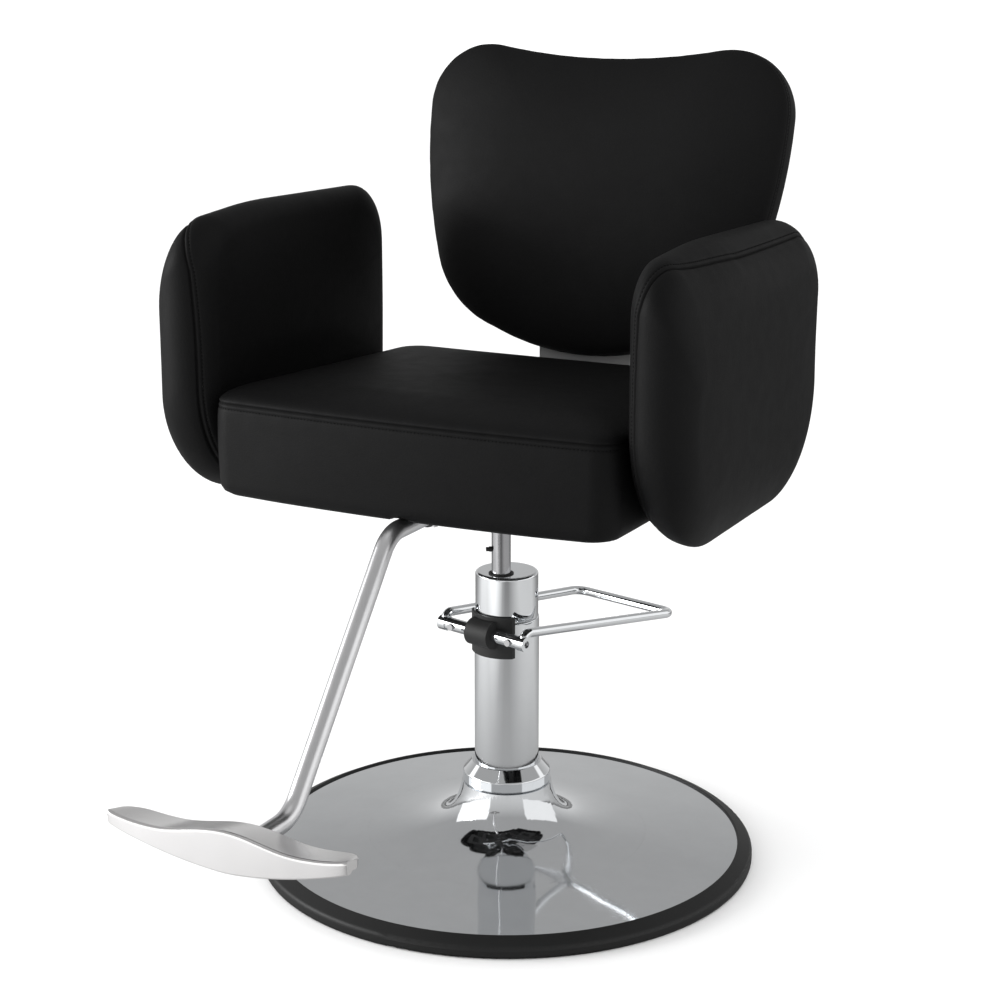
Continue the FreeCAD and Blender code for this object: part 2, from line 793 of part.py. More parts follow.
# Piston on the lower end of the ram, with two seals
piston_low = ram_bottom - piston_floor
piston_radius = cylinder_bore - run_gap
piston = rod(piston_radius, up * piston_low, up * (piston_low + piston_height))
piston = piston.cut(rod(ram_radius, up * ram_bottom, up * (ram_bottom + piston_height)))
seals = []
for height in (0.2, 0.6):
    low = piston_low + height * piston_height
    seal_floor = piston_radius - seal_depth
    piston = piston.cut(upright_ring(2 * piston_radius, seal_floor, origin, low, low + seal_width))
    seal = upright_ring(piston_radius, seal_floor, origin, low, low + seal_width)
    seals.append(seal.translated(ram_place))
save("piston", piston.translated(ram_place))
save("piston_seals", *seals)

# Thrust washer, hub and its bush
bush_radius = journal_radius + run_gap + hub_bush_wall
save("thrust_washer", upright(journal_radius - soft_gap, ram_place, ram_top, hub_top))
hub = turned([
    (0, hub_top),
    (bush_radius, hub_top),
    (bush_radius, hub_low),
    (hub_radius, hub_low, hub_round),
    (hub_radius, hub_top, 2 * hub_round),
    (hub_flange_radius, hub_top, hub_round),
    (hub_flange_radius, hub_face),
    (0, hub_face),
])
lock_heading = V(0, 1, 0)
lock_hole = rod(screw_radius + bolt_gap, up * lock_z, up * lock_z + lock_heading * 2 * hub_radius)
hub_points = circle_of(hub_bolt_circle, quarter_turns)
hub = drilled(hub.cut(lock_hole), small_bolt, hub_points, hub_top, hub_face)
save("swivel_hub", hub.translated(ram_place))
hub_bush = upright_ring(bush_radius - run_gap, journal_radius + run_gap, origin, hub_low, ram_top - bolt_gap)
save("hub_bush", hub_bush.cut(lock_hole).translated(ram_place))
hub_bolts = [bolt(small_bolt, spot + up * hub_top, spot + up * frame_top) for spot in hub_points]
save("hub_bolts", *[one.translated(ram_place) for one in hub_bolts])
lock_tip = up * lock_z + lock_heading * (groove_floor + lock_gap)
lock_head = up * lock_z + lock_heading * hub_radius
lock_screw = bolt(screw_radius, lock_head, lock_tip)
save("hub_lock_screw", lock_screw.translated(ram_place))

# Seat frame, a plate with two windows
frame_corners = [
    (-frame_half_width, frame_front, frame_corner),
    (frame_half_width, frame_front, frame_corner),
    (frame_half_width, frame_back, frame_corner),
    (-frame_half_width, frame_back, frame_corner),
]
seat_frame = plate(frame_corners, hub_face, frame_thickness)
window_outer = frame_half_width - frame_web
window_inner = window_outer - frame_window
bracket_middle = -ram_offset
for hand in (-1, 1):
    for low, high in ((frame_front + frame_web, bracket_middle - bracket_inner_width / 2 - frame_web / 2),
                      (bracket_middle + bracket_inner_width / 2 + frame_web / 2, frame_back - frame_web)):
        window = [(hand * window_inner, low, window_corner), (hand * window_outer, low, window_corner),
                  (hand * window_outer, high, window_corner), (hand * window_inner, high, window_corner)]
        seat_frame = seat_frame.cut(plate(window, hub_face, frame_thickness))


def pairs(across, places):
    return [V(hand * across, y, 0) for hand in (-1, 1) for y in places]


seat_bolt_points = pairs(window_inner + frame_window / 2,
                         (frame_front + frame_web / 2, frame_back - frame_web / 2))
arm_inner_bolts = pairs(bracket_inner_edge + bracket_bolt_inset,
                        (bracket_middle - bracket_inner_width / 3, bracket_middle + bracket_inner_width / 3))
back_frame_bolts = pairs(bracket_width / 4,
                         (back_bracket_start + back_bracket_bolt, frame_back - back_bracket_bolt))
socket_bolt_points = pairs(socket_wing - socket_bolt_inset,
                           (socket_front + socket_bolt_end, socket_back - socket_bolt_end))
frame_holes = [ram_place + spot for spot in hub_points]
frame_holes += seat_bolt_points + arm_inner_bolts + back_frame_bolts + socket_bolt_points
seat_frame = drilled(seat_frame, small_bolt, frame_holes, hub_face, frame_top)
socket_outer = tube_radius + socket_wall
notch_front = V(0, 2 * frame_front, tube_height)
notch_back = V(0, socket_back + run_gap, tube_height)
save("seat_frame", seat_frame.cut(rod(socket_outer + run_gap, notch_front, notch_back)))

# Plywood seat board
board_low = frame_top
board_top = board_low + board_thickness
board_corners = [
    (-seat_half_width + board_inset, seat_front + board_inset + seat_front_bow, seat_corner),
    (seat_half_width - board_inset, seat_front + board_inset + seat_front_bow, seat_corner),
    (seat_half_width - board_inset, seat_back - board_inset, seat_corner),
    (-seat_half_width + board_inset, seat_back - board_inset, seat_corner),
]
seat_board = plate(board_corners, board_low, board_thickness)
save("seat_board", drilled(seat_board, small_bolt, seat_bolt_points, board_low, board_top))
seat_bolt_tip = board_top - bolt_gap
seat_bolts = [bolt(small_bolt, spot + up * hub_face, spot + up * seat_bolt_tip) for spot in seat_bolt_points]
save("seat_bolts", *seat_bolts)

# Thin liner under the board, round the frame
liner_low = board_low - liner_thickness
liner_window = plate(grown(frame_corners, soft_gap), liner_low, liner_thickness)
save("seat_liner", plate(board_corners, liner_low, liner_thickness).cut(liner_window))


# Seat cushion: drawn-in boxing, rolled lower edge and a crowned top
def seat_section(inset, height, fall):
    # Four bowed sides and four rounded corners, moved in by the inset, lower at the rear by the fall.
    share = (seat_half_width - inset) / seat_half_width
    corner = seat_corner * share
    half = seat_half_width - inset
    low = seat_front + seat_front_bow * share + inset
    high = seat_back - inset
    turn = corner * (1 - math.sqrt(0.5))
    bow = seat_side_bow * share
    middle_y = (low + high) / 2

    def spot(x, y):
        return V(x, y, height - fall * (y - seat_front) / (seat_back - seat_front))

    spots = [
        (spot(-half + corner, low), spot(0, low - seat_front_bow * share), spot(half - corner, low)),
        (spot(half - turn, low + turn), spot(half, low + corner)),
        (spot(half + bow, middle_y), spot(half, high - corner)),
        (spot(half - turn, high - turn), spot(half - corner, high)),
        (spot(0, high + bow), spot(-half + corner, high)),
        (spot(-half + turn, high - turn), spot(-half, high - corner)),
        (spot(-half - bow, middle_y), spot(-half, low + corner)),
        (spot(-half + turn, low + turn), spot(-half + corner, low)),
    ]
    here = spots[0][0]
    edges = []
    for step in spots:
        edges.append(Part.Arc(here, step[-2], step[-1]).toShape())
        here = step[-1]
    return Part.Wire(edges)


seat_levels = []
for out, inset in reversed(quarter_roll(seat_edge_roll, seat_edge_roll, (25, 55, 85))):
    seat_levels.append((inset, seat_skirt + seat_edge_roll - out, 0))
boxing = seat_side_height - seat_edge_roll
for share in (0.35, 0.7):
    draw_in = seat_draw_in * math.sin(math.pi * share)
    seat_levels.append((draw_in, seat_skirt + seat_edge_roll + share * boxing, share * seat_fall))
for out, inset in quarter_roll(seat_crown, seat_crown_reach, (0, 18, 36, 54, 70, 82)):
    seat_levels.append((inset, seat_seam + out, seat_fall))
cushion = Part.makeLoft([seat_section(*level) for level in seat_levels], True, True)
pocket_top = board_top + soft_gap
pocket_low = frame_top - board_thickness
cushion = cushion.cut(plate(grown(board_corners, soft_gap), pocket_low, pocket_top - pocket_low))
channel_front = V(0, 2 * seat_front, tube_height)
tube_channel = rod(tube_radius + soft_gap, channel_front, V(0, socket_front, tube_height))
save("seat_cushion", cushion.cut(tube_channel))


# Arms: plump pads rolled at the inner edge and crowned on the outer side
arm_high = arm_top - arm_bottom


def arm_section(out):
    # Rounded outline in the YZ plane at a distance from the inner face, drawn in by the rolls.
    drop = rolled(out, arm_ridge, arm_ridge_roll, arm_crown_drop)
    rear_drop = rolled(out, arm_ridge, arm_ridge_roll, arm_rear_drop)
    lift = rolled(out, arm_keel, arm_keel_roll, arm_belly_rise)
    tuck = rolled(out, arm_nose, arm_nose_roll, arm_nose_roll)
    share = (arm_high - drop - lift) / arm_high
    rear_share = (arm_high - rear_drop - lift) / arm_high
    front_y = arm_front + tuck
    back_y = arm_back - tuck
    low = arm_bottom + lift
    bulge_z = low + (arm_bulge_rise + arm_drop) * rear_share
    x = arm_inner + out
    corners = [
        (V(x, front_y, low), arm_toe_corner * share),
        (V(x, back_y, low), arm_heel_corner * rear_share),
        (V(x, back_y + arm_bulge * rear_share, bulge_z), arm_bulge_round * rear_share),
        (V(x, back_y, arm_top - rear_drop - arm_fall * rear_share), arm_back_corner * rear_share),
        (V(x, arm_peak, arm_top - (drop + rear_drop) / 2), arm_peak_round * share),
        (V(x, front_y, arm_top - drop - arm_front_fall * share), arm_front_corner * share),
    ]
    return corner_path(corners)


def rolled(out, middle, inner_reach, outer_reach):
    # Quarter ellipses on either side of a middle line.
    if out < middle:
        depth, reach = middle + arm_flat, inner_reach
    else:
        depth, reach = arm_width - middle + arm_flat, outer_reach
    return reach * (1 - math.sqrt(1 - ((out - middle) / depth) ** 2))


arm_stations = [arm_width * s for s in (0, 0.04, 0.12, 0.26, 0.44, 0.62, 0.76, 0.87, 0.95, 1)]
arm_pad = Part.makeLoft([arm_section(out) for out in arm_stations], True, True)
core_middle_x = arm_inner + core_place
core_middle_y = bracket_middle
core = Part.makeBox(core_thickness, core_length, core_depth,
                    V(core_middle_x - core_thickness / 2, core_middle_y - core_length / 2, hub_face))
pocket_size = (core_thickness + 2 * soft_gap, core_length + 2 * soft_gap, 2 * core_depth + soft_gap)
pocket_x = core_middle_x - pocket_size[0] / 2
pocket_y = core_middle_y - pocket_size[1] / 2
arm_pad = arm_pad.cut(Part.makeBox(*pocket_size, V(pocket_x, pocket_y, hub_face - core_depth)))
bracket_outer_edge = core_middle_x + bracket_margin
recess_half = bracket_outer_width / 2 + soft_gap
recess = Part.makeBox(bracket_outer_edge + soft_gap - arm_inner / 2, 2 * recess_half, arm_drop + soft_gap,
                      V(arm_inner / 2, core_middle_y - recess_half, hub_face - arm_drop))
arm_pad = arm_pad.cut(recess)
arm_bolt_points = [V(core_middle_x, core_middle_y + y * arm_bolt_spread, 0) for y in (-1, 1)]
arm_bolt_tip = hub_face + arm_bolt_depth
core = drilled(core, small_bolt, arm_bolt_points, hub_face, arm_bolt_tip + bolt_gap)
save("arm_pad_left", arm_pad)
save("arm_pad_right", mirrored(arm_pad))
save("arm_core_left", core)
save("arm_core_right", mirrored(core))

# Steel brackets from the frame to the arms
bracket_corners = [
    (bracket_inner_edge, bracket_middle - bracket_inner_width / 2, bracket_corner),
    (bracket_outer_edge, bracket_middle - bracket_outer_width / 2, bracket_corner),
    (bracket_outer_edge, bracket_middle + bracket_outer_width / 2, bracket_corner),
    (bracket_inner_edge, bracket_middle + bracket_inner_width / 2, bracket_corner),
]
arm_bracket = plate(bracket_corners, bracket_low, bracket_thickness)
inner_points = [spot for spot in arm_inner_bolts if spot.x > 0]
arm_bracket = drilled(arm_bracket, small_bolt, inner_points + arm_bolt_points, bracket_low, hub_face)
slot_inner = (frame_half_width + arm_inner) / 2 - bracket_slot_half
slot_outer = slot_inner + 2 * bracket_slot_half
slot_low = bracket_middle - bracket_slot_length / 2
slot_high = bracket_middle + bracket_slot_length / 2
slot = plate([(slot_inner, slot_low, bracket_corner), (slot_outer, slot_low, bracket_corner),
              (slot_outer, slot_high, bracket_corner), (slot_inner, slot_high, bracket_corner)],
             bracket_low, bracket_thickness)
arm_bracket = arm_bracket.cut(slot)
save("arm_bracket_left", arm_bracket)
save("arm_bracket_right", mirrored(arm_bracket))
left_bolts = [bolt(small_bolt, spot + up * bracket_low, spot + up * frame_top) for spot in inner_points]
for spot in arm_bolt_points:
    left_bolts.append(bolt(small_bolt, spot + up * bracket_low, spot + up * arm_bolt_tip))
save("arm_bracket_bolts", *left_bolts, *[mirrored(one) for one in left_bolts])


# Back, drawn flat as (across, along, depth) and leaned back from its foot
def back_point(across, along, depth):
    y = back_foot_y + along * math.sin(lean) - depth * math.cos(lean)
    z = back_foot_z + along * math.cos(lean) + depth * math.sin(lean)
    return V(across, y, z)


back_normal = back_point(0, 0, 1) - back_point(0, 0, 0)


def back_outline(inset, depth):
    # Shield of eight arcs: bowed foot, lower corners, flared sides, round shoulders and a dipped top.
    shoulder = back_half_width - back_peak
    dip = math.radians(back_dip_angle)
    flare = math.radians(back_side_turn)
    sole = math.radians(back_bottom_turn)
    shoulder_at = back_height - shoulder
    dip_x = back_peak - shoulder * math.sin(dip)
    dip_at = shoulder_at + shoulder * math.cos(dip)
    dip_sag = dip_x * math.tan(dip / 2)
    hip_x = back_half_width - back_side_radius * (1 - math.cos(flare))
    hip_at = shoulder_at - back_side_radius * math.sin(flare)
    rib_x = back_half_width - back_side_radius * (1 - math.cos(flare / 2))
    rib_at = shoulder_at - back_side_radius * math.sin(flare / 2)
    sole_x = back_bottom_radius * math.sin(sole)
    sole_at = back_bottom_radius * (1 - math.cos(sole))
    chord = math.hypot(hip_x - sole_x, hip_at - sole_at)
    sag = chord / 2 * math.tan((math.pi / 2 - flare - sole) / 4)
    knee_x = (hip_x + sole_x) / 2 + sag * (hip_at - sole_at) / chord
    knee_at = (hip_at + sole_at) / 2 - sag * (hip_x - sole_x) / chord
    slant = (dip + math.pi / 2) / 2
    brow_x = back_peak + shoulder * math.cos(slant)
    brow_at = shoulder_at + shoulder * math.sin(slant)
    half = [
        ((knee_x, knee_at), (hip_x, hip_at)),
        ((rib_x, rib_at), (back_half_width, shoulder_at)),
        ((brow_x, brow_at), (dip_x, dip_at)),
    ]
    steps = [((0, 0), (sole_x, sole_at))] + half + [((0, dip_at - dip_sag), (-dip_x, dip_at))]
    ends = [(sole_x, sole_at)] + [end for middle, end in half]
    for i in (2, 1, 0):
        middle = half[i][0]
        steps.append(((-middle[0], middle[1]), (-ends[i][0], ends[i][1])))
    wide = (back_half_width - inset) / back_half_width
    tall = (back_height - 2 * inset) / back_height

    def spot(pair):
        return back_point(pair[0] * wide, back_height / 2 + (pair[1] - back_height / 2) * tall, depth)

    here = spot((-sole_x, sole_at))
    edges = []
    for middle, end in steps:
        edges.append(Part.Arc(here, spot(middle), spot(end)).toShape())
        here = spot(end)
    return Part.Wire(edges)


pad_levels = [(-back_pad_rear, back_draw_in), (-back_pad_rear / 2, back_draw_in / 4), (0, 0)]
for out, inset in quarter_roll(back_pad_crown, back_crown_reach, (0, 20, 40, 58, 74)):
    pad_levels.append((back_pad_edge + out, inset + back_draw_in / 2))
back_pad = Part.makeLoft([back_outline(inset, depth) for depth, inset in pad_levels], True, True)


def back_slab(width, along_low, along_high, depth_low, depth_high):
    corners = [back_point(-width / 2, along_low, depth_low), back_point(width / 2, along_low, depth_low),
               back_point(width / 2, along_high, depth_low), back_point(-width / 2, along_high, depth_low)]
    face = Part.Face(Part.makePolygon(corners + corners[:1]))
    return face.extrude(back_normal * (depth_high - depth_low))


# Plywood board in the rear of the pad
board_rear = -back_pad_rear
board_front = board_rear + back_board_thickness


def back_board_form(grow, depth_low, depth_high):
    inset = back_half_width * (1 - back_board_scale) - grow
    return Part.Face(back_outline(inset, depth_low)).extrude(back_normal * (depth_high - depth_low))


back_bolt_rows = (back_bolt_low, back_bolt_high)
back_bolt_points = [(hand * back_bolt_half, along) for hand in (-1, 1) for along in back_bolt_rows]
back_board = back_board_form(0, board_rear, board_front)
plate_front = board_front + back_bracket_thickness
back_bolts = []
bolt_cuts = []
for across, along in back_bolt_points:
    rear = back_point(across, along, board_rear)
    counterbore = rod(2 * small_bolt + bolt_gap, rear, rear + back_normal * (back_bolt_head + run_gap))
    shank_hole = rod(small_bolt + bolt_gap, rear, back_point(across, along, plate_front))
    back_board = back_board.cut(counterbore).cut(shank_hole)
    bolt_cuts.append(shank_hole)
    head = rod(2 * small_bolt, rear, rear + back_normal * back_bolt_head)
    back_bolts.append(head.fuse(rod(small_bolt, rear, back_point(across, along, plate_front))))
save("back_board", back_board)
save("back_bolts", *back_bolts)

# Gray bracket plate: flat under the frame, up behind the seat and into the pad
middle_depth = board_front + back_bracket_thickness / 2
lean_start = back_point(0, back_lean_start, middle_depth)
bracket_line = [
    (V(0, back_bracket_start, hub_face - back_bracket_thickness / 2), 0),
    (V(0, lean_start.y, hub_face - back_bracket_thickness / 2), back_bracket_bend),
    (lean_start, back_lean_bend),
    (back_point(0, back_bracket_reach, middle_depth), 0),
]
bracket_path = corner_path(bracket_line, closed=False)
bracket_section = Part.makePolygon([
    V(-bracket_width / 2, back_bracket_start, hub_face - back_bracket_thickness),
    V(bracket_width / 2, back_bracket_start, hub_face - back_bracket_thickness),
    V(bracket_width / 2, back_bracket_start, hub_face),
    V(-bracket_width / 2, back_bracket_start, hub_face),
    V(-bracket_width / 2, back_bracket_start, hub_face - back_bracket_thickness),
])
back_bracket = bracket_path.makePipeShell([bracket_section], True, False)
for cut in bolt_cuts:
    back_bracket = back_bracket.cut(cut)
flat_low = hub_face - back_bracket_thickness
save("back_bracket", drilled(back_bracket, small_bolt, back_frame_bolts, flat_low, hub_face))
bracket_bolts = [bolt(small_bolt, spot + up * flat_low, spot + up * frame_top) for spot in back_frame_bolts]
save("back_bracket_bolts", *bracket_bolts)

# Pad with a pocket for the board and a slot for the bracket, and the panel behind
back_pad = back_pad.cut(back_board_form(soft_gap, 2 * board_rear, board_front))
slot_width = bracket_width + 2 * soft_gap
slot_reach = back_bracket_reach + soft_gap
slot_rear = board_front - back_bend_room
bracket_slot = back_slab(slot_width, -back_lean_bend, slot_reach, slot_rear, plate_front + soft_gap)
save("back_pad", back_pad.cut(bracket_slot))
panel_levels = []
for out, inset in quarter_roll(back_panel_thickness, back_panel_roll, (0, 35, 65, 88)):
    panel_levels.append((board_rear - run_gap - out, inset + panel_inset))
back_panel = Part.makeLoft([back_outline(inset, depth) for depth, inset in panel_levels], True, True)
save("back_panel", back_panel)

# Socket under the frame, and the bent footrest tube in it
socket_bore = tube_radius + run_gap
level = up * tube_height
mouth = V(0, socket_front, 0) + level
socket = rod(socket_outer, mouth, V(0, socket_back, 0) + level)
wing_low = hub_face - socket_wing_thickness
socket = socket.fuse(Part.makeBox(2 * socket_wing, socket_back - socket_front, socket_wing_thickness,
                                  V(-socket_wing, socket_front, wing_low)))
socket = socket.cut(rod(socket_bore, mouth, V(0, socket_back, 0) + level))
socket = drilled(socket, small_bolt, socket_bolt_points, wing_low, hub_face)
socket_bolts = [bolt(small_bolt, spot + up * wing_low, spot + up * frame_top) for spot in socket_bolt_points]
save("socket_bolts", *socket_bolts)
drop = tube_height - footrest_height
knee_y = footrest_elbow + drop / math.tan(math.radians(tube_slope))
tube_start = socket_front + insertion
tube_corners = [
    (V(0, tube_start, tube_height), 0),
    (V(0, knee_y, tube_height), tube_bend),
    (V(0, footrest_elbow, footrest_height), tube_bend),
    (V(0, bar_rear - tube_seat, footrest_height), 0),
]
save("footrest_tube", swept(tube_corners, tube_radius, tube_radius - tube_wall))
screw_points = [V(0, tube_start - foot_screw_first - foot_screw_pitch * i, 0) for i in range(2)]
screw_low = tube_height - socket_outer
screw_tip = tube_height - tube_radius
foot_screws = [bolt(screw_radius, spot + up * screw_low, spot + up * screw_tip) for spot in screw_points]
save("footrest_socket", drilled(socket, screw_radius, screw_points, screw_low - socket_wall, tube_height))


# Cast footrest bar: gull-winged ridge, tread that falls to the rear and a deep curved fascia
bar_front = bar_rear - bar_depth
bar_low = bar_ridge - fascia_middle
bar_sweep = fascia_middle - bar_gull + bar_tip_rise - fascia_tip


def bar_section(x):
    share = abs(x) / bar_half
    ridge = bar_ridge + bar_gull * (math.cos(math.pi * min(1, share / bar_gull_share)) - 1) / 2
    wing = max(0, share - bar_gull_share) / (1 - bar_gull_share)
    ridge += bar_tip_rise * wing ** 2
    fascia = ridge - bar_low - bar_sweep * share ** fascia_curve
    tread = bar_tread + (bar_tip_tread - bar_tread) * share ** 2
    tip = max(0, share - 1 + bar_tip_length) / bar_tip_length
    end = 1 - math.sqrt(1 - (0.99 * tip) ** 2)
    front = bar_front + bar_tip_round * end
    rear = bar_rear - bar_rear_inset * share ** 3 - bar_tip_sweep * end
    rear_z = ridge - bar_fall + (bar_fall - bar_tip_fall) * share ** 2
    inner = front + bar_wall
    foot = bar_lean * fascia / fascia_middle
    corners = [
        (front, ridge, bar_ridge_round),
        (front + foot, ridge - fascia, bar_round),
        (inner + foot, ridge - fascia, bar_round),
        (inner + bar_round, ridge - tread - bar_round / 2 - bar_tip_fill * share ** 8, bar_round / 2),
        (rear, rear_z - tread, bar_round),
        (rear, rear_z, bar_round),
    ]
    return corner_path(flat_corners(corners, lambda y, z: V(x, y, z)))


bar_shares = (0, 0.1, 0.2, 0.3, 0.4, 0.5, 0.6, 0.7, 0.8, 0.87, 0.92, 0.96, 0.985, 1)
bar_stations = [-bar_half * s for s in reversed(bar_shares[1:])] + [bar_half * s for s in bar_shares]
footrest_bar = Part.makeLoft([bar_section(x) for x in bar_stations], True, False)
centre = up * footrest_height
boss_front = V(0, bar_front + bar_lean + bar_wall / 2, 0) + centre
boss_back = V(0, bar_rear + boss_reach, 0) + centre
footrest_bar = footrest_bar.fuse(rod(boss_radius, boss_front, boss_back))
tube_end = V(0, bar_rear - tube_seat - run_gap, 0) + centre
footrest_bar = footrest_bar.cut(rod(socket_bore, tube_end, boss_back))
bar_screw = V(0, bar_rear - bar_screw_place, 0)
boss_low = footrest_height - boss_radius
footrest_bar = drilled(footrest_bar, screw_radius, [bar_screw], boss_low - boss_radius, footrest_height)
save("footrest_bar", footrest_bar)
bar_screw_tip = bar_screw + up * (footrest_height - tube_radius)
foot_screws.append(bolt(screw_radius, bar_screw + up * boss_low, bar_screw_tip))
save("footrest_screws", *foot_screws)
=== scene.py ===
import math

import bpy
import numpy as np
from mathutils import Matrix


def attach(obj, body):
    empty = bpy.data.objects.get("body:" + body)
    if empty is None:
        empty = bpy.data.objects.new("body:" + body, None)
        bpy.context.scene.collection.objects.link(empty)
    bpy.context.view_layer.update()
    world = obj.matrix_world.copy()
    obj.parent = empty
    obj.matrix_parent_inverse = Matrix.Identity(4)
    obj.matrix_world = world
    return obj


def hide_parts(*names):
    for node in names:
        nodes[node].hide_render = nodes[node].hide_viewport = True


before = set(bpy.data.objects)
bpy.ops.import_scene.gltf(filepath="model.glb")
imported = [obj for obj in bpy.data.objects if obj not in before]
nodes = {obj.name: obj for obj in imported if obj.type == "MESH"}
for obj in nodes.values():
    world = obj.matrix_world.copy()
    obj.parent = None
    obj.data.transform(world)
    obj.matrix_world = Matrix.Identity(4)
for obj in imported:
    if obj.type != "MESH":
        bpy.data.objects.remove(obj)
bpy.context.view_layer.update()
scene = bpy.context.scene
print("frame loaded with", len(nodes), "nodes")


# where a camera or lamp stands: columns for right, up and back, then its spot
def standing(right, back, place):
    matrix = np.eye(4)
    matrix[:3, 0], matrix[:3, 1], matrix[:3, 2], matrix[:3, 3] = right, np.cross(back, right), back, place
    return Matrix(matrix.tolist())


# camera at the photograph's place, 1000 x 1000; turn, aside and pitch in degrees
eye = {
    "distance": 2.421, "height": 1.080, "turn": 26.60, "aside": 0.193, "pitch": 14.75,
    "lens": 76.43, "sensor": 36.0, "clip": (0.05, 60.0),
}


def placeCamera(e):
    turn, aside, pitch = (math.radians(e[k]) for k in ("turn", "aside", "pitch"))
    heading, level = turn + aside, math.cos(pitch)
    right = np.array([math.cos(heading), math.sin(heading), 0.0])
    back = np.array([math.sin(heading) * level, -math.cos(heading) * level, math.sin(pitch)])
    lens = bpy.data.cameras.new("salonCamera")
    lens.sensor_width = e["sensor"]
    lens.lens = e["lens"]
    lens.clip_start, lens.clip_end = e["clip"]
    camera = bpy.data.objects.new("salonCamera", lens)
    place = [math.sin(turn) * e["distance"], -math.cos(turn) * e["distance"], e["height"]]
    camera.matrix_world = standing(right, back, place)
    scene.collection.objects.link(camera)
    scene.camera = camera


placeCamera(eye)
print("camera placed")


# a socket is linked, a plain value is set
def setInputs(tree, node, inputs):
    for key, value in inputs.items():
        if isinstance(value, bpy.types.NodeSocket):
            tree.links.new(value, node.inputs[key])
        else:
            node.inputs[key].default_value = value


# node shorthand: one node, its settings and its inputs, by name or by i and a number
def addNode(tree, kind, settings=None, **inputs):
    node = tree.nodes.new("ShaderNode" + kind)
    for key, value in (settings or {}).items():
        setattr(node, key, value)
    setInputs(tree, node, {int(key[1:]) if key[1:].isdigit() else key: value for key, value in inputs.items()})
    return node


def newFinish(name):
    finish = bpy.data.materials.new(name)
    finish.use_nodes = True
    tree = finish.node_tree
    place = addNode(tree, "TexCoord").outputs["Object"]
    return finish, tree, tree.nodes["Principled BSDF"], place


def ramp(tree, factor, stops):
    node = addNode(tree, "ValToRGB", Fac=factor)
    bar = node.color_ramp
    while len(bar.elements) < len(stops):
        bar.elements.new(0.5)
    for element, (spot, colour) in zip(bar.elements, stops):
        element.position = spot
        element.color = (*colour, 1.0)
    return node.outputs["Color"]


def mapped(tree, factor, first=0.0, last=1.0, low=0.0, high=1.0):
    return addNode(tree, "MapRange", i0=factor, i1=first, i2=last, i3=low, i4=high).outputs[0]


def maths(tree, operation, *values):
    inputs = {"i%d" % k: value for k, value in enumerate(values)}
    return addNode(tree, "Math", {"operation": operation}, **inputs).outputs[0]


def mixed(tree, share, low, high):
    return addNode(tree, "Mix", {"data_type": "RGBA"}, i0=share, i6=low, i7=high).outputs[2]


def noise(tree, place, scale, detail=3.0, rough=0.5):
    node = addNode(tree, "TexNoise", Vector=place, Scale=scale, Detail=detail, Roughness=rough)
    return node.outputs["Fac"]


def bands(tree, place, direction, scale, bend=0.0):
    node = addNode(tree, "TexWave", {"bands_direction": direction}, Vector=place, Scale=scale, Distortion=bend)
    return node.outputs["Fac"]


def bump(tree, height, depth, strength=1.0, under=None):
    node = addNode(tree, "Bump", Height=height, Distance=depth, Strength=strength)
    if under is not None:
        tree.links.new(under, node.inputs["Normal"])
    return node.outputs["Normal"]


def shaded(tone, share):
    return tuple(t * share for t in tone)


# upholstery vinyl: fine pebble grain over soft folds, satin, with painted shade darkening it down in the seams, where
# it is also duller
vinylLook = {
    # the seam tone is the near-black of the painted shade down in the seams
    "tone": (0.0040, 0.0040, 0.0042), "shade": 0.72, "cloud": 7.0, "seamShadeTone": (0.001, 0.001, 0.001, 1.0),
    "gloss": (0.54, 0.64), "glossGrain": 46.0, "seamDull": 0.3, "specular": 0.12,
    "pebble": 820.0, "pebbleDeep": 0.00035, "pebbleStrength": 0.4,
    "folds": 240.0, "foldDeep": 0.00025, "foldStrength": 0.5,
}


def vinylFinish(name, v):
    finish, tree, shader, place = newFinish(name)
    pebble = addNode(tree, "TexVoronoi", {"feature": "SMOOTH_F1"}, Vector=place, Scale=v["pebble"])
    # seam: painted shade by point, which darkens the colour and dulls the gloss along the seams
    seam = addNode(tree, "Attribute", {"attribute_name": "seam"}).outputs["Fac"]
    cloud = ramp(tree, noise(tree, place, v["cloud"]), [(0.3, shaded(v["tone"], v["shade"])), (0.7, v["tone"])])
    low, high = v["gloss"]
    gloss = mapped(tree, noise(tree, place, v["glossGrain"], 2.0), low=low, high=high)
    folds = bump(tree, noise(tree, place, v["folds"], 4.0), v["foldDeep"], v["foldStrength"])
    setInputs(tree, shader, {
        "Base Color": mixed(tree, seam, cloud, v["seamShadeTone"]),
        "Roughness": maths(tree, "MULTIPLY_ADD", seam, v["seamDull"], gloss),
        "Specular IOR Level": v["specular"],
        "Normal": bump(tree, pebble.outputs["Distance"], v["pebbleDeep"], v["pebbleStrength"], folds),
    })
    return finish


# sewing thread: slanting twist in tone and height
threadLook = {
    "twist": 900.0, "dark": (0.0008, 0.0008, 0.0008), "light": (0.003, 0.003, 0.003),
    "gloss": 0.8, "specular": 0.1, "deep": 0.0001, "strength": 0.5,
}


def threadFinish(name, t):
    finish, tree, shader, place = newFinish(name)
    twist = bands(tree, place, "DIAGONAL", t["twist"])
    setInputs(tree, shader, {
        "Base Color": ramp(tree, twist, [(0.2, t["dark"]), (0.8, t["light"])]),
        "Roughness": t["gloss"],
        "Specular IOR Level": t["specular"],
        "Normal": bump(tree, twist, t["deep"], t["strength"]),
    })
    return finish


# mirror plate: faint smears in tone and gloss, and a slow wave where sheet was pressed
plateLook = {"smear": (26.0, 5.0, 0.62), "shade": 0.95, "clear": 0.6, "dull": 1.5, "wave": (9.0, 1.0)}


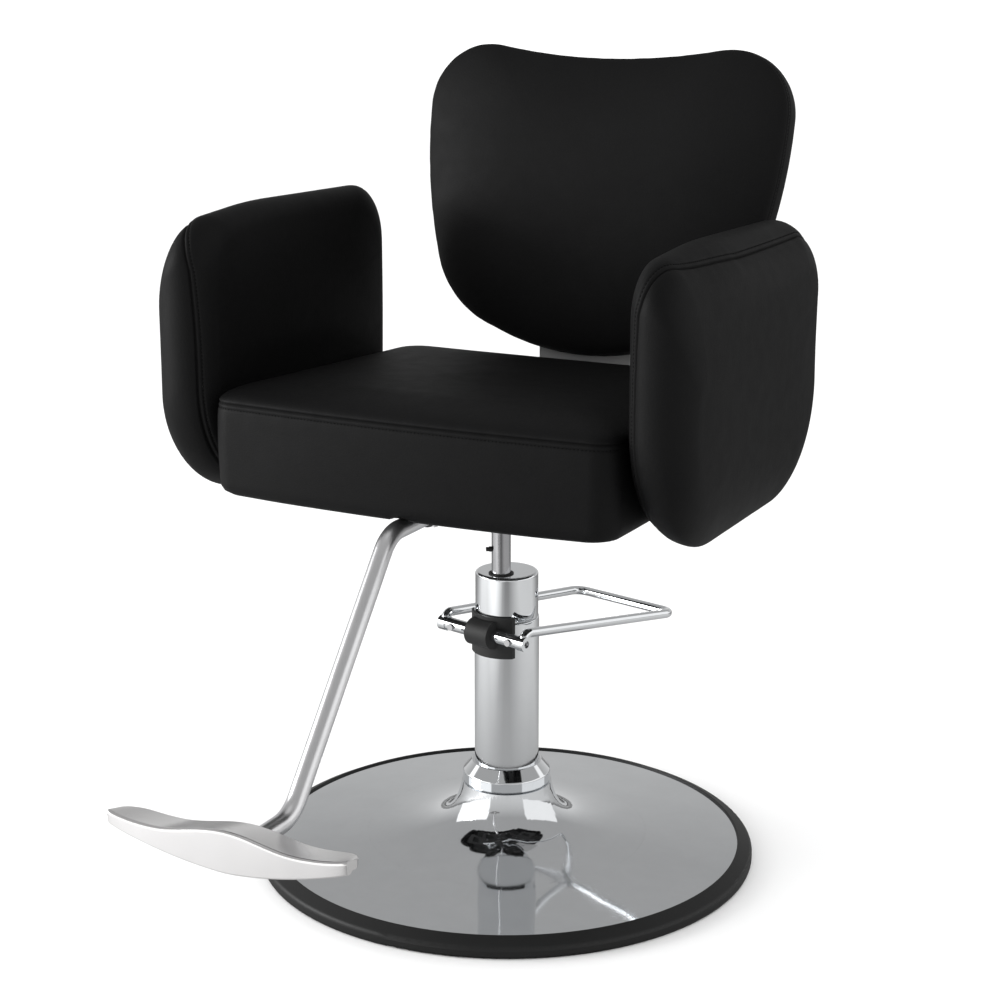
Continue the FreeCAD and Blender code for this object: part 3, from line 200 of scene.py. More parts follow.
def chromeFinish(name, tone, gloss, wave):
    p = plateLook
    finish, tree, shader, place = newFinish(name)
    smear = noise(tree, place, *p["smear"])
    setInputs(tree, shader, {
        "Metallic": 1.0,
        "Base Color": ramp(tree, smear, [(0.25, shaded(tone, p["shade"])), (0.75, tone)]),
        "Roughness": mapped(tree, smear, low=gloss * p["clear"], high=gloss * p["dull"]),
    })
    if wave:
        tree.links.new(bump(tree, noise(tree, place, *p["wave"]), wave), shader.inputs["Normal"])
    return finish


# drawn or cast aluminium: fine lines along the grain over a soft sheen
drawnLook = {"lines": (1.0, 6.0, 0.65), "cloud": 18.0, "shade": 0.93, "clear": 0.75, "dull": 1.3, "strength": 0.6}


def aluminiumFinish(name, tone, gloss, stretch, depth):
    d = drawnLook
    finish, tree, shader, place = newFinish(name)
    grain = addNode(tree, "Mapping", Vector=place, Scale=stretch).outputs["Vector"]
    lines = noise(tree, grain, *d["lines"])
    cloud = noise(tree, place, d["cloud"])
    setInputs(tree, shader, {
        "Metallic": 1.0,
        "Base Color": ramp(tree, cloud, [(0.3, shaded(tone, d["shade"])), (0.7, tone)]),
        "Roughness": mapped(tree, lines, low=gloss * d["clear"], high=gloss * d["dull"]),
        "Normal": bump(tree, lines, depth, d["strength"]),
    })
    return finish


# rubber, paint, castings and the rest: a cloudy tone with a grain of its own
plainLook = {"speckle": (4.0, 0.6), "cloud": 14.0, "clear": 0.85, "dull": 1.15, "strength": 0.7}


def plainFinish(name, tone, gloss, grain, depth, metal=0.0, spread=0.8):
    p = plainLook
    finish, tree, shader, place = newFinish(name)
    speckle = noise(tree, place, grain, *p["speckle"])
    cloud = noise(tree, place, p["cloud"])
    setInputs(tree, shader, {
        "Metallic": metal,
        "Base Color": ramp(tree, cloud, [(0.3, shaded(tone, spread)), (0.7, tone)]),
        "Roughness": mapped(tree, speckle, low=gloss * p["clear"], high=gloss * p["dull"]),
        "Normal": bump(tree, speckle, depth, p["strength"]),
    })
    return finish


# plywood: plies as level bands, a little bent
plyLook = {
    "plies": 110.0, "bend": 1.5, "dark": (0.34, 0.21, 0.11), "light": (0.52, 0.36, 0.21), "gloss": 0.7,
    "grain": (120.0, 5.0), "deep": 0.0004, "strength": 0.6,
}


def plywoodFinish(name, p):
    finish, tree, shader, place = newFinish(name)
    plies = bands(tree, place, "Z", p["plies"], p["bend"])
    setInputs(tree, shader, {
        "Base Color": ramp(tree, plies, [(0.3, p["dark"]), (0.7, p["light"])]),
        "Roughness": p["gloss"],
        "Normal": bump(tree, noise(tree, place, *p["grain"]), p["deep"], p["strength"]),
    })
    return finish


# liner cloth: warp times weft
linerLook = {
    "weave": 420.0, "dark": (0.006, 0.006, 0.006), "light": (0.02, 0.02, 0.02), "gloss": 0.9,
    "deep": 0.0003, "strength": 0.8,
}


def linerFinish(name, c):
    finish, tree, shader, place = newFinish(name)
    weave = maths(tree, "MULTIPLY", *(bands(tree, place, way, c["weave"]) for way in "XY"))
    setInputs(tree, shader, {
        "Base Color": ramp(tree, weave, [(0.1, c["dark"]), (0.8, c["light"])]),
        "Roughness": c["gloss"],
        "Normal": bump(tree, weave, c["deep"], c["strength"]),
    })
    return finish


finishes = {
    "vinyl": vinylFinish("blackVinyl", vinylLook),
    "thread": threadFinish("blackThread", threadLook),
    "chrome": chromeFinish("mirrorChrome", (0.80, 0.815, 0.83), 0.05, 0.0),
    "panChrome": chromeFinish("panChrome", (0.74, 0.755, 0.77), 0.05, 0.0007),
    "bellChrome": chromeFinish("bellChrome", (0.74, 0.755, 0.77), 0.06, 0.0),
    "tube": aluminiumFinish("satinTube", (0.80, 0.80, 0.81), 0.30, (900.0, 60.0, 60.0), 0.00006),
    "bar": aluminiumFinish("polishedBar", (0.84, 0.83, 0.83), 0.20, (40.0, 420.0, 420.0), 0.00004),
    "steel": plainFinish("brightSteel", (0.62, 0.62, 0.63), 0.22, 300.0, 0.00004, 1.0),
    "ramSteel": plainFinish("ramSteel", (0.42, 0.42, 0.43), 0.16, 300.0, 0.00002, 1.0),
    "bronze": plainFinish("bushBronze", (0.50, 0.34, 0.17), 0.35, 300.0, 0.00004, 1.0),
    "rubber": plainFinish("rimRubber", (0.0045, 0.0047, 0.0047), 0.56, 500.0, 0.0002),
    "boot": plainFinish("bootRubber", (0.010, 0.0102, 0.0102), 0.62, 620.0, 0.0003),
    "blackPaint": plainFinish("blackPaint", (0.015, 0.015, 0.015), 0.45, 700.0, 0.00015),
    "grayPaint": plainFinish("grayPaint", (0.34, 0.34, 0.34), 0.5, 700.0, 0.00012, 0.0, 0.92),
    "casting": plainFinish("castBody", (0.09, 0.09, 0.095), 0.6, 420.0, 0.0004, 0.6),
    "plywood": plywoodFinish("plywood", plyLook),
    "liner": linerFinish("linerCloth", linerLook),
}
# by the CAD's material slots, and then nodes with a finish of their own
slotFinish = {
    "chrome_plate": "chrome", "black_rubber": "rubber", "cast_body": "casting", "black_paint": "blackPaint",
    "gray_paint": "grayPaint", "bright_steel": "steel", "bush_bronze": "bronze", "plywood": "plywood",
    "black_vinyl": "vinyl", "liner_cloth": "liner", "satin_aluminium": "tube", "polished_aluminium": "bar",
}
ownFinish = {
    "base_disc": "panChrome", "dome_cover": "bellChrome", "ram": "ramSteel", "seat_board": "liner",
    "rocker_boot": "boot", "ram_wiper": "boot", "stop_pin": "boot",
}
for nodeName, node in nodes.items():
    for holder in node.material_slots:
        chosen = ownFinish.get(nodeName) or slotFinish[holder.material.name.split(".")[0]]
        holder.material = finishes[chosen]
print("finishes given to the CAD nodes")


# a closed form from rings of points (rows, columns, 3): rows join into a tube and each end closes on a pole
def ringFaces(rows, cols, flip):
    row = np.arange(rows - 1)[:, None] * cols
    here = np.arange(cols)[None, :]
    after = (here + 1) % cols
    quads = np.stack([row + here, row + after, row + cols + after, row + cols + here], -1).reshape(-1, 4)
    first = np.stack([np.full(cols, rows * cols), after[0], here[0]], -1)
    edge = (rows - 1) * cols
    last = np.stack([np.full(cols, rows * cols + 1), here[0] + edge, after[0] + edge], -1)
    if flip:
        quads, first, last = quads[:, ::-1], first[:, ::-1], last[:, ::-1]
    return quads.tolist() + first.tolist() + last.tolist()


# cross product of the steps along and across the rows, and whether it points inwards: then the volume it gives
# is negative
def ringCross(rings):
    around = np.roll(rings, -1, 1) - np.roll(rings, 1, 1)
    cross = np.cross(around, np.gradient(rings, axis=0))
    return cross, np.sum(cross * (rings - rings.mean((0, 1)))) < 0


# outward normal: that product at length one, turned outwards
def ringNormals(rings):
    cross, inward = ringCross(rings)
    normal = cross / (np.linalg.norm(cross, axis=2, keepdims=True) + 1e-12)
    return -normal if inward else normal


def linkMesh(name, points, faces, finish):
    mesh = bpy.data.meshes.new(name)
    mesh.from_pydata(points.tolist(), [], faces)
    mesh.polygons.foreach_set("use_smooth", np.ones(len(mesh.polygons), bool))
    mesh.materials.append(finishes[finish])
    mesh.update()
    piece = bpy.data.objects.new(name, mesh)
    scene.collection.objects.link(piece)
    return piece


# piece from rings, with the poles at the middles of the end rings; seam is painted shade that darkens the vinyl by
# point
def buildRings(name, rings, finish, seam=None):
    rows, cols = rings.shape[:2]
    points = np.vstack([rings.reshape(-1, 3), rings[0].mean(0), rings[-1].mean(0)])
    piece = linkMesh(name, points, ringFaces(rows, cols, ringCross(rings)[1]), finish)
    if seam is not None:
        mark = piece.data.attributes.new("seam", "FLOAT", "POINT")
        mark.data.foreach_set("value", np.append(seam.reshape(-1), [0.0, 0.0]).astype(np.float32))
    return piece


# distance run along a line of points, from 0
def lengths(points):
    return np.concatenate([[0.0], np.cumsum(np.linalg.norm(np.diff(points, axis=0), axis=1))])


# steps along a profile: fine within reach of a seam, and growing with the distance beyond it
seamGrid = {"fine": 0.0009, "coarse": 0.0062, "reach": 0.005, "growth": 0.14, "samples": 6000}


def seamSteps(length, seams, g):
    fineLine = np.linspace(0.0, length, g["samples"])
    away = np.min(np.abs(fineLine[:, None] - np.array(seams)[None, :]), axis=1)
    step = np.clip(g["fine"] + g["growth"] * np.maximum(away - g["reach"], 0.0), g["fine"], g["coarse"])
    travel = np.concatenate([[0.0], np.cumsum(np.diff(fineLine) * (1.0 / step[1:]))])
    return np.interp(np.linspace(0.0, travel[-1], int(travel[-1]) + 2), travel, fineLine)


# strip of a profile: columns side by side, with single values carried along
def strip(*columns):
    return np.stack(np.broadcast_arrays(*columns), -1).astype(float)


def spots(mesh):
    flat = np.empty(len(mesh.vertices) * 3)
    mesh.vertices.foreach_get("co", flat)
    return flat.reshape(-1, 3)


# how the covers are blown up: the cloth of the bag, and frames of it
bagCloth = {
    "quality": 4, "mass": 0.35, "tension_stiffness": 18.0, "compression_stiffness": 18.0,
    "shear_stiffness": 8.0, "bending_stiffness": 2.0, "use_pressure": True, "vertex_group_mass": "held",
}
bagFrames = 20


# cover of a pad: the form is copied, remeshed and blown up as cloth, its travel is evened out from neighbour
# to neighbour, and the sewn grid follows it along its normals
def swell(name, rings, held, pad):
    cap = pad["cap"]
    plain = buildRings(name + "Plain", rings, "vinyl")
    blocky = plain.modifiers.new("remesh", "REMESH")
    blocky.mode = "VOXEL"
    blocky.voxel_size = pad["voxel"]
    graph = bpy.context.evaluated_depsgraph_get()
    skin = bpy.data.meshes.new_from_object(plain.evaluated_get(graph))
    plain.modifiers.clear()
    bag = bpy.data.objects.new(name + "Bag", skin)
    scene.collection.objects.link(bag)
    start = spots(skin)
    pinned = bag.vertex_groups.new(name="held")
    pinned.add(np.flatnonzero(held(start)).tolist(), 1.0, "REPLACE")
    cloth = bag.modifiers.new("cloth", "CLOTH")
    for key, value in bagCloth.items():
        setattr(cloth.settings, key, value)
    cloth.settings.uniform_pressure_force = pad["pressure"]
    cloth.settings.effector_weights.gravity = 0.0
    cloth.point_cache.frame_start, cloth.point_cache.frame_end = 1, bagFrames
    for step in range(1, bagFrames + 1):
        scene.frame_set(step)
    travel = spots(bag.evaluated_get(bpy.context.evaluated_depsgraph_get()).to_mesh()) - start
    travel = travel * np.minimum(1.0, cap / (np.linalg.norm(travel, axis=1, keepdims=True) + 1e-9))
    ends = np.empty(len(skin.edges) * 2, np.int32)
    skin.edges.foreach_get("vertices", ends)
    ends = ends.reshape(-1, 2)
    here, there = np.concatenate([ends, ends[:, ::-1]]).T
    count = np.bincount(here, minlength=len(start))[:, None]
    for again in range(pad["soften"]):
        around = np.stack([np.bincount(here, travel[there, k], len(start)) for k in range(3)], -1)
        travel = (travel + around / count) / 2
    bag.modifiers.clear()
    skin.vertices.foreach_set("co", (start + travel).reshape(-1))
    skin.update()
    wrap = plain.modifiers.new("follow", "SHRINKWRAP")
    wrap.target = bag
    wrap.wrap_method = "NEAREST_SURFACEPOINT"
    follow = spots(plain.evaluated_get(bpy.context.evaluated_depsgraph_get()).to_mesh())
    follow = follow[:-2].reshape(rings.shape)  # the last two are the poles
    normal = ringNormals(rings)
    rise = np.clip(np.sum((follow - rings) * normal, axis=2), 0.0, cap)
    for again in range(pad["soften"]):
        rise = (4 * rise + np.roll(rise, 1, 1) + np.roll(rise, -1, 1)
                + np.vstack([rise[:1], rise[:-1]]) + np.vstack([rise[1:], rise[-1:]])) / 8
    for leftover in (plain, bag):
        mesh = leftover.data
        bpy.data.objects.remove(leftover)
        bpy.data.meshes.remove(mesh)
    scene.frame_set(1)
    shown = np.round([rise.min() * 1000, rise.mean() * 1000, rise.max() * 1000], 2)
    print(name, "blown up, rise in mm least, mean and most", shown)
    return rings + normal * rise[..., None]


# what the sewn covers share: bag, thread, seam and the puckers beside it
sewing = {
    "voxel": 0.006, "pressure": 4.0, "cap": 0.004, "soften": 60,
    "pitch": 0.0043, "stitch": 0.0029, "thick": 0.0006, "proud": 0.25,
    # dark and its width: the painted shade that darkens the vinyl along the seam
    "creaseWide": 0.0017, "rowDeep": 0.0008, "rowWide": 0.0013, "dark": 0.9, "paintedShadeWide": 0.0011,
    "pucker": 0.00012, "puckerReach": 0.012,
    "puckerWaves": ((1.0, 190.0, 0.0), (0.7, 311.0, 1.3), (0.5, 83.0, 0.4)),  # height, pitch, start
}
stitchForm = {"rings": 6, "sides": 6, "tip": 0.02, "dip": 1.6}


# thread: capsules of six sides that dip at both ends, set along a closed path at an even pitch
def sewThread(name, path, normal, sew):
    rings, sides = stitchForm["rings"], stitchForm["sides"]
    loop, out = np.vstack([path, path[:1]]), np.vstack([normal, normal[:1]])
    run = lengths(loop)
    count = int(run[-1] / sew["pitch"])
    middle = (np.arange(count) + 0.5) * run[-1] / count
    along = np.linspace(-0.5, 0.5, rings)
    at = (middle[:, None] + along[None, :] * sew["stitch"]) % run[-1]
    spot, rise = (np.stack([np.interp(at, run, line[:, k]) for k in range(3)], -1) for line in (loop, out))
    rise /= np.linalg.norm(rise, axis=2, keepdims=True)
    ahead = np.gradient(spot, axis=1)
    ahead /= np.linalg.norm(ahead, axis=2, keepdims=True)
    side = np.cross(ahead, rise)
    girth = sew["thick"] * np.sqrt(np.clip(1.0 - (2 * along) ** 6, stitchForm["tip"], 1.0))
    high = sew["thick"] * (sew["proud"] - stitchForm["dip"] * (2 * along) ** 4)
    turn = np.arange(sides) * math.pi / (sides / 2)
    ring = (spot + rise * high[None, :, None])[:, :, None, :]
    ring = ring + girth[None, :, None, None] * (np.cos(turn)[None, None, :, None] * side[:, :, None, :]
                                                + np.sin(turn)[None, None, :, None] * rise[:, :, None, :])
    begin = np.arange(count) * rings * sides
    base = begin[:, None, None] + (np.arange(rings - 1) * sides)[None, :, None]
    here = np.arange(sides)[None, None, :]
    after = (here + 1) % sides
    quads = np.stack([base + here, base + after, base + sides + after, base + sides + here], -1).reshape(-1, 4)
    first = begin[:, None] + np.arange(sides - 1, -1, -1)[None, :]
    last = (begin + (rings - 1) * sides)[:, None] + np.arange(sides)[None, :]
    piece = linkMesh(name, ring.reshape(-1, 3), quads.tolist() + first.tolist() + last.tolist(), "thread")
    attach(piece, "chair")


# seam: a narrow crease in a wide soft valley, with a shallow line under each row of thread
def seamValley(away, sew):
    crease = sew["crease"] * np.exp(-(away / sew["creaseWide"]) ** 2)
    valley = sew["valley"] * np.exp(-(away / sew["valleyWide"]) ** 2)
    rows = sum(sew["rowDeep"] * np.exp(-((away - spot) / sew["rowWide"]) ** 2) for spot in sew["rows"])
    return crease + valley + rows


# puckers: three sines along the seam that fade away from it
def puckers(run, away, sew):
    wave = sum(high * np.sin(run * pitch + start) for high, pitch, start in sew["puckerWaves"])
    return sew["pucker"] * wave * np.exp(-np.abs(away) / sew["puckerReach"])


# cover with its seam pressed in along the normals, by distance from the seam and by run along it
def pressSeam(rings, away, run, sew):
    return rings - ringNormals(rings) * (seamValley(away, sew) + puckers(run, away, sew))[..., None]


# painted shade along the seam: darkest on the seam line, fading with distance from it
def seamPaintedShade(away, sew):
    return sew["dark"] * np.exp(-(away / sew["paintedShadeWide"]) ** 2)


# threads of a cover whose seam is one of its rings
def sewRows(name, rings, away, sew):
    normal = ringNormals(rings)
    for k, spot in enumerate(sew["rows"]):
        row = int(np.argmin(np.abs(away - spot)))
        sewThread("%s%d" % (name, k), rings[row], normal[row], sew)


# seat: rounded plan moved in by an inset, carried up a profile of skirt, boxing, seam and crown
seatPad = {
    **sewing,
    "halfWidth": 0.247, "front": -0.253, "back": 0.186, "corner": 0.027, "frontBow": 0.013, "sideBow": 0.002,
    "skirt": 0.4795, "seam": 0.586, "fall": 0.0215, "edgeRoll": 0.012, "drawIn": -0.001,
    "crown": 0.0235, "crownReach": 0.075, "crownLift": 0.002, "poleReach": 0.12,
    "pocket": 0.0284, "pocketTop": 0.4968, "pocketLip": 0.001, "start": 0.0022, "heldBelow": 0.4985,
    "crease": 0.0016, "valley": 0.0012, "valleyWide": 0.010, "rows": (-0.006,),
    "tubeRise": 0.0026, "tubeWide": 0.010, "tubeFrom": -0.19, "tubeTop": 0.487, "tubeFade": 0.006,
    "cornerCols": 22, "sideCols": 80,
}


# plan of the seat at an inset: straight sides, quarter-circle corners, then bows that swell the front and the sides
def seatPlan(s, inset, share):
    half = s["halfWidth"] - inset
    low = s["front"] + inset
    high = s["back"] - inset
    radius = s["corner"] * half / s["halfWidth"]
    quarter = np.linspace(0.0, math.pi / 2, s["cornerCols"])
    part = np.linspace(0.0, 1.0, s["sideCols"] + 2)[1:-1]
    xs, ys = [], []
    for sx, sy, begin in ((1, -1, -math.pi / 2), (1, 1, 0.0), (-1, 1, math.pi / 2), (-1, -1, math.pi)):
        cx = sx * (half - radius)
        cy = np.where(sy < 0, low + radius, high - radius)
        xs.append(cx[:, None] + radius[:, None] * np.cos(begin + quarter)[None, :])
        ys.append(cy[:, None] + radius[:, None] * np.sin(begin + quarter)[None, :])

    def joined(corners):
        after = corners[1:] + corners[:1]
        return np.hstack([grid for here, there in zip(corners, after)
                          for grid in (here, here[:, -1:] + (there[:, :1] - here[:, -1:]) * part[None, :])])

    x, y = joined(xs), joined(ys)
    half = half[:, None]
    middle = ((low + high) / 2)[:, None]
    long = ((high - low) / 2)[:, None]
    slim = half / s["halfWidth"]
    ahead = np.clip((middle - y) / long, 0.0, 1.0) ** 2
    y = y - s["frontBow"] * slim * (1.0 - (x / half) ** 2) * ahead
    bow = s["sideBow"] * slim * (1.0 - ((y - middle) / long) ** 2)
    x = x + np.sign(x) * bow * np.clip(np.abs(x) / half, 0, 1) ** 4
    return x * share[:, None], middle + (y - middle) * share[:, None]


# rings of the seat: inset, height, share of the fall and share of the plan, from the pocket's pole to the crown's
def seatRings(s):
    turn = np.radians(np.linspace(0.0, 90.0, 40))
    boxing = np.linspace(0.0, 1.0, 80)[1:]
    reach, gap, roll = s["crownReach"], s["start"], s["edgeRoll"]
    boxHigh = s["seam"] - s["skirt"] - roll
    crown = s["seam"] + s["crown"] - gap
    parts = [
        strip(reach, s["pocketTop"], 0, np.linspace(0.03, 1.0, 20)),
        strip(np.linspace(reach, s["pocket"], 30), s["pocketTop"], 0, 1)[1:],
        strip(s["pocket"], np.linspace(s["pocketTop"], s["skirt"] + s["pocketLip"], 8), 0, 1)[1:],
        strip(gap + roll * (1 - np.sin(turn)), s["skirt"] + roll * (1 - np.cos(turn)), 0, 1),
        strip(gap + s["drawIn"] * np.sin(math.pi * boxing), s["skirt"] + roll + boxHigh * boxing, boxing, 1),
        strip(gap + (reach - gap) * (1 - np.cos(turn)), s["seam"] + (s["crown"] - gap) * np.sin(turn), 1, 1)[1:],
        strip(reach, crown + s["crownLift"] * np.linspace(0, 1, 30) ** 2, 1, np.linspace(1.0, 0.02, 30))[1:],
    ]
    profile = np.vstack(parts)
    depth = profile[:, 0] + (1.0 - profile[:, 3]) * s["poleReach"]
    run = lengths(np.stack([depth, profile[:, 1]], -1))
    seamAt = run[sum(len(part) for part in parts[:5]) - 1]
    steps = seamSteps(run[-1], [seamAt] + [seamAt + spot for spot in s["rows"]], seamGrid)
    inset, height, fall, share = (np.interp(steps, run, profile[:, k]) for k in range(4))
    x, y = seatPlan(s, inset, share)
    sink = (y - s["front"] + s["frontBow"]) / (s["back"] - s["front"] + s["frontBow"])
    z = height[:, None] - s["fall"] * fall[:, None] * sink
    # the skirt is let up where the footrest's tube comes out under it
    overTube = s["tubeRise"] * np.exp(-(x / s["tubeWide"]) ** 6) * (y < s["tubeFrom"])
    overTube = overTube * np.clip((s["tubeTop"] - z) / s["tubeFade"], 0.0, 1.0)
    return np.stack([x, y, z + overTube], -1), steps - seamAt


def makeSeat(s):
    rings, away = seatRings(s)
    rings = swell("seatCover", rings, lambda p: p[:, 2] < s["heldBelow"], s)
    run = lengths(rings[int(np.argmin(np.abs(away)))])
    rings = pressSeam(rings, away[:, None], run[None, :], s)
    # painted shade along the seam, by point
    seam = np.repeat(seamPaintedShade(away, s)[:, None], rings.shape[1], 1)
    cushion = buildRings("seatCover", rings, "vinyl", seam)
    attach(cushion, "chair")
    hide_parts("seat_cushion")
    sewRows("seatThread", rings, away, s)


makeSeat(seatPad)
print("seat made")


# arm: rounded outline in the side plane, drawn in towards both faces by elliptical rolls at top, foot and front
armPad = {
    **sewing,
    "inner": 0.2494, "width": 0.076, "front": -0.254, "back": 0.174, "bottom": 0.455, "top": 0.788,
    "frontFall": 0.010, "rearFall": 0.006, "peak": -0.110, "bulge": 0.003, "bulgeAt": 0.715,
    "corners": (0.140, 0.110, 0.085, 0.060, 0.800, 0.055), "cornerRoom": 0.94,
    "ridge": 0.025, "ridgeRoll": 0.029, "crownDrop": 0.150, "rearDrop": 0.055,
    "keel": 0.044, "keelRoll": 0.030, "bellyRise": 0.085, "nose": 0.037, "noseRoll": 0.038,
    "flat": 0.0003, "dome": 0.0045, "outerDome": 0.002, "seatLevel": 0.588, "domeFade": 0.05,
    "swing": 0.006, "swingFrom": 0.6, "start": 0.0020, "heldDeep": 0.006, "heldBelow": 0.60,
    "seamFront": 0.0125, "seamLip": 0.002, "seamBrow": 0.046, "seamTop": 0.0575, "seamRear": 0.0600,
    "seamHeel": 0.03, "seamFoot": 0.018, "seamEase": 220,
    "crease": 0.0018, "valley": 0.0010, "valleyWide": 0.008, "rows": (-0.006,),
    "trialRows": 161, "seamReach": 0.0098, "seamRows": 17, "faceRows": 24, "faceGrowth": 1.5, "capRows": 30,
    # columns round the outline: toe, heel, rear swell, back top, peak and front top, each an arc and then a run
    "arcs": (40, 36, 24, 36, 30, 40), "runs": (20, 18, 16, 16, 16, 22),
}


def unit(steps):
    return steps / np.linalg.norm(steps, axis=-1, keepdims=True)


# outline by column for any drops, lift and tuck: each corner is an exact arc,
# (1-t)^2 T0 + 2w t(1-t) P + t^2 T1 over its weights, made smaller where two corners would meet on a short side
def armOutline(a, drop, rearDrop, lift, tuck):
    gap = a["start"]
    high = a["top"] - a["bottom"] - 2 * gap
    share = (high - drop - lift) / high
    rearShare = (high - rearDrop - lift) / high
    low = a["bottom"] + gap + lift
    top = a["top"] - gap
    fore = a["front"] + gap + tuck
    rear = a["back"] - gap - tuck
    fullest = low + (a["bulgeAt"] - a["bottom"]) * rearShare
    level = np.stack([low, low, fullest, top - rearDrop - a["rearFall"] * rearShare, top - (drop + rearDrop) / 2,
                      top - drop - a["frontFall"] * share])
    along = np.stack([fore, rear, rear + a["bulge"] * rearShare, rear, np.full(drop.shape, a["peak"]), fore])
    spot = np.stack([along, level], -1)
    shares = np.stack([share, rearShare, rearShare, rearShare, share, share])
    radius = np.array(a["corners"])[:, None, None] * shares
    onward = np.roll(spot, -1, 0) - spot
    ahead, back = unit(onward), unit(np.roll(spot, 1, 0) - spot)
    half = np.arccos(np.sum(ahead * back, axis=-1)) / 2
    setback = radius / np.tan(half)
    side = np.linalg.norm(onward, axis=-1)
    fits = np.minimum(1.0, a["cornerRoom"] * side / (setback + np.roll(setback, -1, 0)))
    setback = (setback * np.minimum(fits, np.roll(fits, 1, 0)))[..., None]
    enter, leave = spot + back * setback, spot + ahead * setback
    weight = np.sin(half)
    line = np.empty((*drop.shape, 2))
    column = 0
    for k, (arc, straight) in enumerate(zip(a["arcs"], a["runs"])):
        here = slice(column, column + arc)
        t = np.linspace(0.0, 1.0, arc)[None, :]
        parts = (1 - t) ** 2, 2 * weight[k][:, here] * t * (1 - t), t ** 2
        curve = sum(part[..., None] * point[k][:, here] for part, point in zip(parts, (enter, spot, leave)))
        line[:, here] = curve / sum(parts)[..., None]
        here = slice(column + arc, column + arc + straight)
        t = np.linspace(0.0, 1.0, straight + 2)[None, 1:-1, None]
        line[:, here] = leave[k][:, here] * (1 - t) + enter[(k + 1) % 6][:, here] * t
        column += arc + straight
    return line[..., 0], line[..., 1]


# where the seam runs round the arm, as a distance from the inner face by column: marks joined, then evened out
def armSeam(a):
    marks = np.cumsum([0] + [count for pair in zip(a["arcs"], a["runs"]) for count in pair])
    front, brow, top, rear = (a[k] for k in ("seamFront", "seamBrow", "seamTop", "seamRear"))
    outs = [front, a["seamFoot"], a["seamHeel"], rear, rear, rear, rear, rear, top, (top + brow) / 2, brow,
            front + a["seamLip"], front]
    seam = np.interp(np.arange(marks[-1]), marks, outs)
    for again in range(a["seamEase"]):
        seam = (np.roll(seam, 1) + 2 * seam + np.roll(seam, -1)) / 4
    return seam


# shell of the arm for any turn over its ridge: out follows the sine, and the drop of the top follows the cosine
def armShell(a, turn):
    reach = np.where(turn < 0, a["ridge"] + a["flat"], a["width"] - a["ridge"] + a["flat"])
    out = a["ridge"] + reach * np.sin(turn)
    drop, rearDrop = (np.where(turn < 0, a["ridgeRoll"], a[k]) * (1 - np.cos(turn)) for k in ("crownDrop", "rearDrop"))

    def rolled(middle, inner, outer):
        depth = np.where(out < middle, middle, a["width"] - middle) + a["flat"]
        return np.where(out < middle, inner, outer) * (1 - np.sqrt(1 - ((out - middle) / depth) ** 2))

    lift = rolled(a["keel"], a["keelRoll"], a["bellyRise"])
    tuck = rolled(a["nose"], a["noseRoll"], a["noseRoll"])
    y, z = armOutline(a, drop, rearDrop, lift, tuck)
    return np.stack([a["inner"] + a["start"] / 2 + out * (1 - a["start"] / a["width"]), y, z], -1)


# distance across the rows from the seam's row, by column
def acrossRows(rings, seamRow):
    run = np.cumsum(np.linalg.norm(np.diff(rings, axis=0, prepend=rings[:1]), axis=2), axis=0)
    return run - run[seamRow]


# rows run from the middle of the inner face, over the seam, to the middle of the outer face, close together at the seam
def armRings(a):
    seamOut = armSeam(a)
    inReach = a["ridge"] + a["flat"]
    outReach = a["width"] - a["ridge"] + a["flat"]
    lowest = -math.asin(a["ridge"] / inReach)
    highest = math.asin((a["width"] - a["ridge"]) / outReach)
    seamTurn = np.arcsin((seamOut - a["ridge"]) / np.where(seamOut < a["ridge"], inReach, outReach))[None, :]
    steps = np.linspace(-1.0, 1.0, a["trialRows"])[:, None]
    turn = seamTurn + np.where(steps < 0, seamTurn - lowest, highest - seamTurn) * steps
    run = acrossRows(armShell(a, turn), a["trialRows"] // 2)
    near = np.linspace(0.0, a["seamReach"], a["seamRows"])[1:, None] + 0.0 * run[:1]
    far = np.linspace(0.0, 1.0, a["faceRows"])[1:, None] ** a["faceGrowth"]
    inner, outer = (near[-1:] + (reach - near[-1:]) * far for reach in (-run[:1], run[-1:]))
    wanted = np.concatenate([-inner[::-1], -near[::-1], 0.0 * run[:1], near, outer])
    turn = np.stack([np.interp(w, r, t) for w, r, t in zip(wanted.T, run.T, turn.T)], 1)
    body = armShell(a, turn)
    seamRow = len(inner) + len(near)
    share = np.linspace(0.04, 1.0, a["capRows"])[:-1, None]

    def closed(edge, shares):
        middle = edge.mean(1, keepdims=True)
        return middle + (edge - middle) * shares[..., None]

    inner, outer = closed(body[:1], share), closed(body[-1:], share[::-1])
    clear = np.clip((inner[..., 2] - a["seatLevel"]) / a["domeFade"], 0.0, 1.0)
    inner[..., 0] -= a["dome"] * (1 - share ** 3) * clear * clear * (3 - 2 * clear)
    outer[..., 0] += a["outerDome"] * (1 - share[::-1] ** 2)
    return np.concatenate([inner, body, outer]), len(inner) + seamRow


def swollenArm(a):
    rings, seamRow = armRings(a)
    held = lambda p: (p[:, 0] < a["inner"] + a["heldDeep"]) & (p[:, 2] < a["heldBelow"])
    rings = swell("armCover", rings, held, a)
    return rings, seamRow


